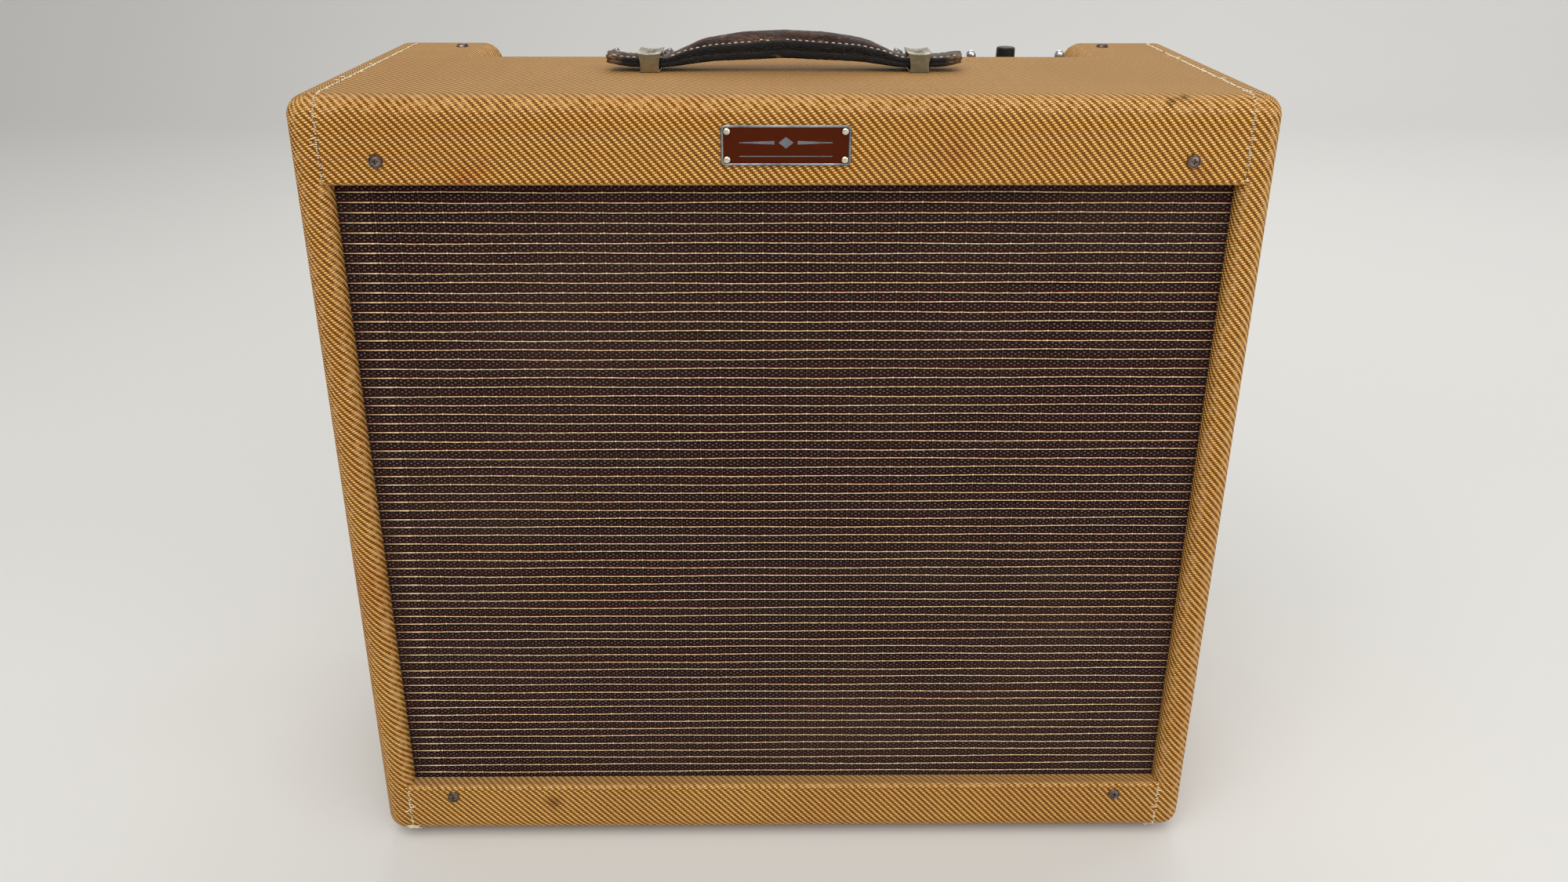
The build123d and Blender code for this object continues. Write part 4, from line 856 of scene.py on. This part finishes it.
def along_seam(end, travel):
    """A point of the cabinet's surface and its outward direction, at a distance from the window."""
    edge_up = WINDOW_HIGH + PANEL_LIP_RADIUS if end > 0 else WINDOW_LOW - PANEL_LIP_RADIUS
    end_z = bend_height(end)
    core = Vector((0, core_front_y(end_z, EDGE_RADIUS), end_z))
    bend_up = (core - FRONT_ORIGIN).dot(UP_SLOPE)
    bend = pi / 2 - end * LEAN
    front_length = abs(bend_up - edge_up)
    if travel < front_length:
        return front_point(0, edge_up + end * travel), -INWARDS
    travel -= front_length
    if travel < EDGE_RADIUS * bend:
        turn = travel / EDGE_RADIUS
        out = -INWARDS * cos(turn) + UP_SLOPE * (end * sin(turn))
        return core + out * EDGE_RADIUS, out
    out = Vector((0, 0, end))
    return core + Vector((0, travel - EDGE_RADIUS * bend, 0)) + out * EDGE_RADIUS, out


def seam_length(end):
    """How long a seam is, from the window's edge to the start of the rear edge's bend."""
    front = up_the_slope(TOP_Z) - WINDOW_HIGH if end > 0 else WINDOW_LOW
    return front + REAR_Y - EDGE_RADIUS - core_front_y(bend_height(end), EDGE_RADIUS)


def add_weft_end(fibres, side, end, travel, chance, length, lift):
    """One cream weft end that pokes out of a seam."""
    lean = chance.uniform(-0.5, 0.5) * length
    start_x = side * SEAM_X + chance.uniform(-1.2, -0.2) * MM
    way = chance.choice((-1, 1)) if length > LONG_FIBRE else 1
    path = []
    for k in range(4):
        share = k / 3
        point, out = along_seam(end, max(travel + lean * share, 0.0))
        across = Vector((start_x + way * length * share, 0, 0))
        path.append(point + across + out * (FIBRE_LIFT + lift * sin(pi * share * 0.8)))
    radius = chance.uniform(0.20, 0.32) * MM
    fibres.add(path, (radius, radius, radius, radius * 0.5))


def seam_fibres():
    """The dotted cream line of weft ends along all four seams, with loose hairs."""
    chance = random.Random(5)
    fibres = Tubes(4)
    for side, end in SEAMS:
        for i in range(int(seam_length(end) / (WEFT_PITCH * MM))):
            travel = i * WEFT_PITCH * MM
            thick = 0.5 + 0.5 * noise.noise(Vector((travel * 60, side * 5.0, end * 9.0)))
            if chance.random() < 0.6 + 0.6 * thick:
                length = chance.uniform(0.8, 1.6) * MM
                add_weft_end(fibres, side, end, travel, chance, length, 0.25 * MM)
            if chance.random() < LOOSE_HAIR_SHARE:
                length = chance.uniform(2.2, 4.5) * MM
                add_weft_end(fibres, side, end, travel, chance, length, 0.7 * MM)
    for side, travel, count in TUFTS:
        for _ in range(count):
            place = travel + chance.uniform(-1.6, 1.6) * MM
            add_weft_end(fibres, side, -1, place, chance, chance.uniform(2.4, 5.0) * MM, 0.9 * MM)
    return fibres.mesh("seam_fibres")


def seam_grooves():
    """The dark butt line under the fibres, a shallow ribbon that follows each seam."""
    points = []
    faces = []
    for side, end in SEAMS:
        faces += grid_faces(GROOVE_STEPS, 2, len(points))
        for i in range(GROOVE_STEPS + 1):
            point, out = along_seam(end, seam_length(end) * i / GROOVE_STEPS)
            for shift, lift in ((-0.35, 0.01), (0.0, 0.07), (0.35, 0.01)):
                across = Vector((side * SEAM_X + shift * MM, 0, 0))
                points.append(point + across + out * lift * MM)
    return mesh_of("seam_grooves", points, faces)


piece_of("seam_fibres", seam_fibres(), "cabinet", thread_finish("weft_thread", "FBF3DC", "DCCDA6"))
piece_of("seam_grooves", seam_grooves(), "cabinet", thread_finish("seam_shadow", "7A4A1C", "4A2A10"))

# ---- Nameplate: a chrome rim round an enamel field, with a plain lens-and-lozenge ornament ----

plate_low, plate_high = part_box("nameplate")
PLATE_HALF_WIDTH = plate_high.x
PLATE_HALF_HEIGHT = (plate_high.z - plate_low.z - PLATE_THICKNESS * sin(LEAN)) / 2 / cos(LEAN)
PLATE_UP = ((plate_low + plate_high) / 2 - FRONT_ORIGIN).dot(UP_SLOPE)


def rounded_outline(half_width, half_height, radius, steps=6):
    """The points of a rounded rectangle, anticlockwise from its right side."""
    outline = []
    for corner in range(4):
        across = 1 if corner in (0, 3) else -1
        upward = 1 if corner in (0, 1) else -1
        for k in range(steps + 1):
            turn = pi / 2 * (corner + k / steps)
            x = across * (half_width - radius) + radius * cos(turn)
            up = upward * (half_height - radius) + radius * sin(turn)
            outline.append((x, up))
    return outline


def plate_ring(inset, depth):
    """One level of the plate's outline."""
    radius = max(PLATE_CORNER_RADIUS - inset, 1.0 * MM)
    outline = rounded_outline(PLATE_HALF_WIDTH - inset, PLATE_HALF_HEIGHT - inset, radius)
    return [front_point(x, PLATE_UP + up, depth) for x, up in outline]


def plate_rings(levels):
    """The points and faces through several levels, each an inset and a depth in millimetres."""
    points = []
    for inset, depth in levels:
        points.extend(plate_ring(inset * MM, depth * MM))
    return points, ring_faces(len(levels), len(points) // len(levels))


def nameplate_rim():
    """The raised rim, rolled from its foot over its crest and down to the field."""
    return mesh_of("nameplate_rim", *plate_rings(RIM_LEVELS))


def nameplate_field():
    """The enamel inside the rim, slightly crowned."""
    points, faces = plate_rings(FIELD_LEVELS)
    around = len(points) // len(FIELD_LEVELS)
    faces.append(tuple(range(len(points) - around, len(points))))
    return mesh_of("nameplate_field", points, faces)


def add_raised(points, faces, outline):
    """A flat shape that stands a little proud of the field."""
    first = len(points)
    count = len(outline)
    for depth in (FIELD_DEPTH, FIELD_DEPTH - ORNAMENT_HEIGHT):
        points.extend(front_point(x * MM, PLATE_UP + up * MM, depth) for x, up in outline)
    faces.append(tuple(range(first + count, first + 2 * count)))
    faces += ring_faces(2, count, first)


def nameplate_ornament():
    """A lozenge between two tapering bars, over one fine line."""
    points = []
    faces = []
    for outline in ORNAMENT:
        add_raised(points, faces, outline)
    return mesh_of("nameplate_ornament", points, faces, smooth=False)


PLATE_METAL = metal_finish("plate_metal", "96989E", "4A4C54", 0.16, 90.0, 0.7)
rim = piece_of("nameplate_rim", nameplate_rim(), "cabinet", PLATE_METAL)
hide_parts("nameplate")
piece_of("nameplate_field", nameplate_field(), "cabinet", FINISHES["enamel_plate"])
piece_of("nameplate_ornament", nameplate_ornament(), "cabinet", PLATE_METAL)

# ---- Handle strap: padded leather, stitched along both edges, with torn tips ----

strap_low, strap_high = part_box("handle_strap")
STRAP_HALF_LENGTH = strap_high.x
STRAP_HALF_WIDTH = (strap_high.y - strap_low.y) / 2
STRAP_Y = (strap_high.y + strap_low.y) / 2
STRAP_HALF = STRAP_HALF_WIDTH - 0.3 * MM
DOME_HALF = STRAP_HALF - 3.4 * MM


def eased(knots, x):
    """A smooth height in metres at x, through a few knots in millimetres."""
    xs = [knot[0] for knot in reversed(knots)]
    zs = [knot[1] for knot in reversed(knots)]
    spread = [np.interp(abs(x) / MM + shift, xs, zs) for shift in np.linspace(-4, 4, 9)]
    return float(np.mean(spread)) * MM


def strap_heights(x):
    """(underside, shoulder, crown) of the strap at x."""
    low = TOP_Z + eased(STRAP_UNDERSIDE, x)
    top = TOP_Z + eased(STRAP_TOP, x)
    shoulder = min(low + eased(STRAP_SIDE, x), top - LEAST_CROWN)
    return low, shoulder, top


def strap_section(x):
    """The strap's outline at x as (y, z, how much it belongs to the crown), once round."""
    low, shoulder, top = strap_heights(x)
    levels = {"underside": low, "middle": (low + shoulder) / 2, "shoulder": shoulder}
    side = [(0.0, low, 0.0), (STRAP_HALF * 0.5, low, 0.0)]
    for inset, level, lift, crown in SECTION_SIDE:
        side.append((STRAP_HALF - inset * MM, levels[level] + lift * MM, crown))
    for k in range(1, DOME_STEPS + 1):
        turn = pi / 2 * k / DOME_STEPS
        rise = sin(turn) ** DOME_FULLNESS
        side.append((DOME_HALF * cos(turn), shoulder + (top - shoulder) * rise, 1.0))
    mirrored = [(-y, z, crown) for y, z, crown in reversed(side[1:-1])]
    return side + mirrored


def handle_strap():
    """The strap, wrinkled along its length, its ends torn and turned up."""
    around = len(strap_section(0.0))
    points = []
    crowns = []
    tips = []
    for i in range(STRAP_STEPS + 1):
        share = 2 * i / STRAP_STEPS - 1
        x = share * (STRAP_HALF_LENGTH - 1.2 * MM)
        torn = max(0.0, (abs(share) - TORN_FROM) / (1 - TORN_FROM))
        shrink = 1 - 0.10 * torn * torn
        middle_z = sum(strap_heights(x)[:2]) / 2
        for y, z, crown in strap_section(x):
            grain = noise.fractal(Vector((x * 260, y * 420, z * 620)), 1.0, 2.0, 4)
            wrinkle = noise.noise(Vector((x * 55, y * 300, z * 420)))
            relief = (0.16 * grain + 0.14 * wrinkle - 0.12) * MM
            out = Vector((0, y, (z - middle_z) * 1.6))
            out = out.normalized() if out.length > 1e-6 else Vector((0, 0, 1))
            rag = noise.noise(Vector((y * 420, z * 500, copysign(7.0, x)))) * TORN_RAG * torn
            along = x + copysign(1, x) * rag
            place = Vector((along, STRAP_Y + y * shrink, middle_z + (z - middle_z) * shrink))
            points.append(place + out * relief)
            crowns.append(crown * (1.0 if abs(x) < 0.9 * STRAP_HALF_LENGTH else 0.5))
            tips.append(max(0.0, min(1.0, (abs(x) / MM - 98) / 8)))
    faces = [(a, d, c, b) for a, b, c, d in ring_faces(STRAP_STEPS + 1, around)]
    for first, way in ((0, 1), (STRAP_STEPS * around, -1)):
        centre = len(points)
        points.append(sum((points[first + k] for k in range(around)), Vector()) / around)
        crowns.append(0.5)
        tips.append(1.0)
        for k in range(around):
            after = (k + 1) % around
            faces.append((centre, first + k, first + after)[::way])
    mesh = mesh_of("strap", points, faces)
    for name, values in (("crown", crowns), ("tip", tips)):
        mesh.attributes.new(name, "FLOAT", "POINT").data.foreach_set("value", values)
    return mesh


def handle_stitches():
    """Pale thread dashes along both edges, a few of them missing or standing up."""
    chance = random.Random(23)
    thread = Tubes(6)
    reach = STRAP_HALF_LENGTH - 5 * MM
    for side in (-1, 1):
        x = -reach
        y = STRAP_Y + side * (STRAP_HALF - STITCH_INSET)
        while x < reach:
            if chance.random() < STITCH_SHARE:
                loose = 0.9 * MM if chance.random() < LOOSE_STITCH_SHARE else 0.0
                path = []
                for k in range(5):
                    at = x + STITCH_LENGTH * k / 4
                    bow = sin(pi * k / 4)
                    lift = 0.02 * MM + 0.2 * MM * bow + loose * bow
                    path.append(Vector((at, y, strap_heights(at)[1] + lift)))
                thread.add(path, STITCH_RADII)
            x += STITCH_PITCH * chance.uniform(0.94, 1.06)
    return thread.mesh("strap_stitches")


def torn_fibres():
    """Frayed leather fibres at the strap's two torn tips."""
    chance = random.Random(31)
    fibres = Tubes(4)
    low, _shoulder, top = strap_heights(0.105)
    for side in (-1, 1):
        for _ in range(46):
            start = Vector((side * (STRAP_HALF_LENGTH - 2.4 * MM), STRAP_Y, low + 0.9 * MM))
            start.y += chance.uniform(-0.85, 0.85) * STRAP_HALF_WIDTH
            start.z += chance.uniform(0.0, 1.0) * (top - low - 1.8 * MM)
            forwards = side * chance.uniform(0.4, 1.0)
            heading = Vector((forwards, chance.uniform(-0.6, 0.6), chance.uniform(-0.3, 0.6)))
            length = chance.uniform(1.0, 2.2) * MM
            path = []
            for k in range(4):
                curl = Vector((0, 0, 0.25 * MM * k * k / 9))
                path.append(start + heading * length * k / 3 + curl)
            fibres.add(path, FIBRE_RADII)
    return fibres.mesh("strap_torn_fibres")


strap = piece_of("strap", handle_strap(), "handle", FINISHES["leather"])
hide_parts("handle_strap")
stitch_thread = thread_finish("stitch_thread", "DAD2C2", "A89C88")
piece_of("strap_stitches", handle_stitches(), "handle", stitch_thread)
torn_leather = thread_finish("torn_leather", "9A7650", "3A281C")
piece_of("strap_torn_fibres", torn_fibres(), "handle", torn_leather)


def soften_edges(node_name, width):
    """Joins a frame node's faces and rounds its sharp edges, with modifiers alone."""
    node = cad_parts[node_name]
    weld = node.modifiers.new("weld", "WELD")
    weld.merge_threshold = 0.001 * MM
    bevel = node.modifiers.new("bevel", "BEVEL")
    bevel.width = width
    bevel.segments = 2
    bevel.limit_method = "ANGLE"
    bevel.angle_limit = radians(40)
    bevel.harden_normals = True


soften_edges("handle_clips", 0.3 * MM)

# ---- Figures round the knobs ----


def knob_axis(knob):
    """A knob's axis as x and y, and its ridge's height. Its round skirt reaches its lowest y."""
    low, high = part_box(knob + "_knob")
    return (low.x + high.x) / 2, low.y + (high.x - low.x) / 2, high.z


def dial_figures():
    """The numbers 1 to 12 round each knob, flat on the control panel and read from behind."""
    points = []
    faces = []
    panel_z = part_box("chassis")[1].z + 0.06 * MM
    for knob in DIAL_KNOBS:
        centre_x, centre_y, _ridge_z = knob_axis(knob)
        for number in range(1, 13):
            turn = radians(DIAL_SWEEP * ((number - 1) / 11 - 0.5))
            text = bpy.data.curves.new("figure", "FONT")
            text.body = str(number)
            text.size = FIGURE_SIZE
            text.align_x = "CENTER"
            text.align_y = "CENTER"
            holder = bpy.data.objects.new("figure", text)
            flat = holder.to_mesh()
            first = len(points)
            x = centre_x - FIGURE_REACH * sin(turn)
            y = centre_y + FIGURE_REACH * cos(turn)
            for vertex in flat.vertices:
                points.append(Vector((x - vertex.co.x, y - vertex.co.y, panel_z)))
            for polygon in flat.polygons:
                faces.append(tuple(first + index for index in polygon.vertices))
            holder.to_mesh_clear()
            bpy.data.objects.remove(holder)
            bpy.data.curves.remove(text)
    return mesh_of("dial_figures", points, faces, smooth=False)


figures = moulded_finish("figure_ink", "17171A", "3A3A3C", 0.5)
piece_of("dial_figures", dial_figures(), "cabinet", figures)

# ---- White line filled into the ridge of each knob ----


def knob_line(centre_x, centre_y, ridge_z):
    """A thin, slightly crowned strip with rounded ends, from near a knob's middle to near its nose."""
    points = []
    for i in range(LINE_STEPS + 1):
        share = i / LINE_STEPS
        width = LINE_HALF_WIDTH * sqrt(max(1 - (2 * share - 1) ** 8, 0.02))
        y = centre_y + LINE_START + LINE_LENGTH * share
        for across, lift in ((-1.0, 0.0), (-0.6, 0.07), (0.6, 0.07), (1.0, 0.0)):
            points.append((centre_x + across * width, y, ridge_z + lift * MM))
    return mesh_of("knob_line", points, grid_faces(LINE_STEPS, 3))


white_fill = moulded_finish("white_fill", "DEDACC", "B4AD9A", 0.5, 600.0, 0.4)
for knob in DIAL_KNOBS:
    line = knob_line(*knob_axis(knob))
    piece_of(knob + "_pointer_line", line, knob + "_knob", white_fill)

# ---- Stage, light and camera ----


def stage_floor():
    """A pale seamless floor that sweeps up behind the object."""
    profile = [(FLOOR_FRONT, 0.0), (SWEEP_Y, 0.0)]
    for k in range(1, 17):
        turn = pi / 2 * k / 16
        profile.append((SWEEP_Y + SWEEP_RADIUS * sin(turn), SWEEP_RADIUS * (1 - cos(turn))))
    profile.append((SWEEP_Y + SWEEP_RADIUS, FLOOR_HALF_WIDTH))
    points = [(x, y, z) for y, z in profile for x in (-FLOOR_HALF_WIDTH, FLOOR_HALF_WIDTH)]
    ground = object_of("floor", mesh_of("floor", points, grid_faces(len(profile) - 1, 1)))
    paper = Finish("backdrop", roughness=0.9)
    paper.set("Base Color", paper.mix(paper.noise(0.8, 2.0), "D1D1CF", "D8D7D5"))
    ground.data.materials.append(paper.material)


def soft_light(name, place, aim, size, power, tint):
    """A square soft box that shines from one place towards another."""
    lamp = bpy.data.lights.new(name, "AREA")
    lamp.size = size
    lamp.energy = power
    lamp.color = tint
    holder = object_of(name, lamp)
    holder.location = place
    holder.rotation_euler = (Vector(aim) - Vector(place)).to_track_quat("-Z", "Y").to_euler()


def camera():
    """The camera, in front of and above the cabinet, looking down at it."""
    lens = bpy.data.cameras.new("camera")
    lens.lens = LENS_LENGTH
    lens.sensor_width = SENSOR_WIDTH
    lens.shift_y = LENS_SHIFT
    lens.clip_start = 0.02
    eye = object_of("camera", lens)
    eye.location = EYE
    eye.rotation_euler = Euler((pi / 2 - EYE_DOWN, EYE_ROLL, EYE_TURN))
    bpy.context.scene.camera = eye


stage_floor()
for light in LIGHTS:
    soft_light(*light)
world = bpy.data.worlds.new("room")
world.use_nodes = True
world.node_tree.nodes["Background"].inputs[0].default_value = ROOM_TINT
world.node_tree.nodes["Background"].inputs[1].default_value = ROOM_LIGHT
bpy.context.scene.world = world
bpy.context.scene.view_settings.view_transform = "Standard"
camera()
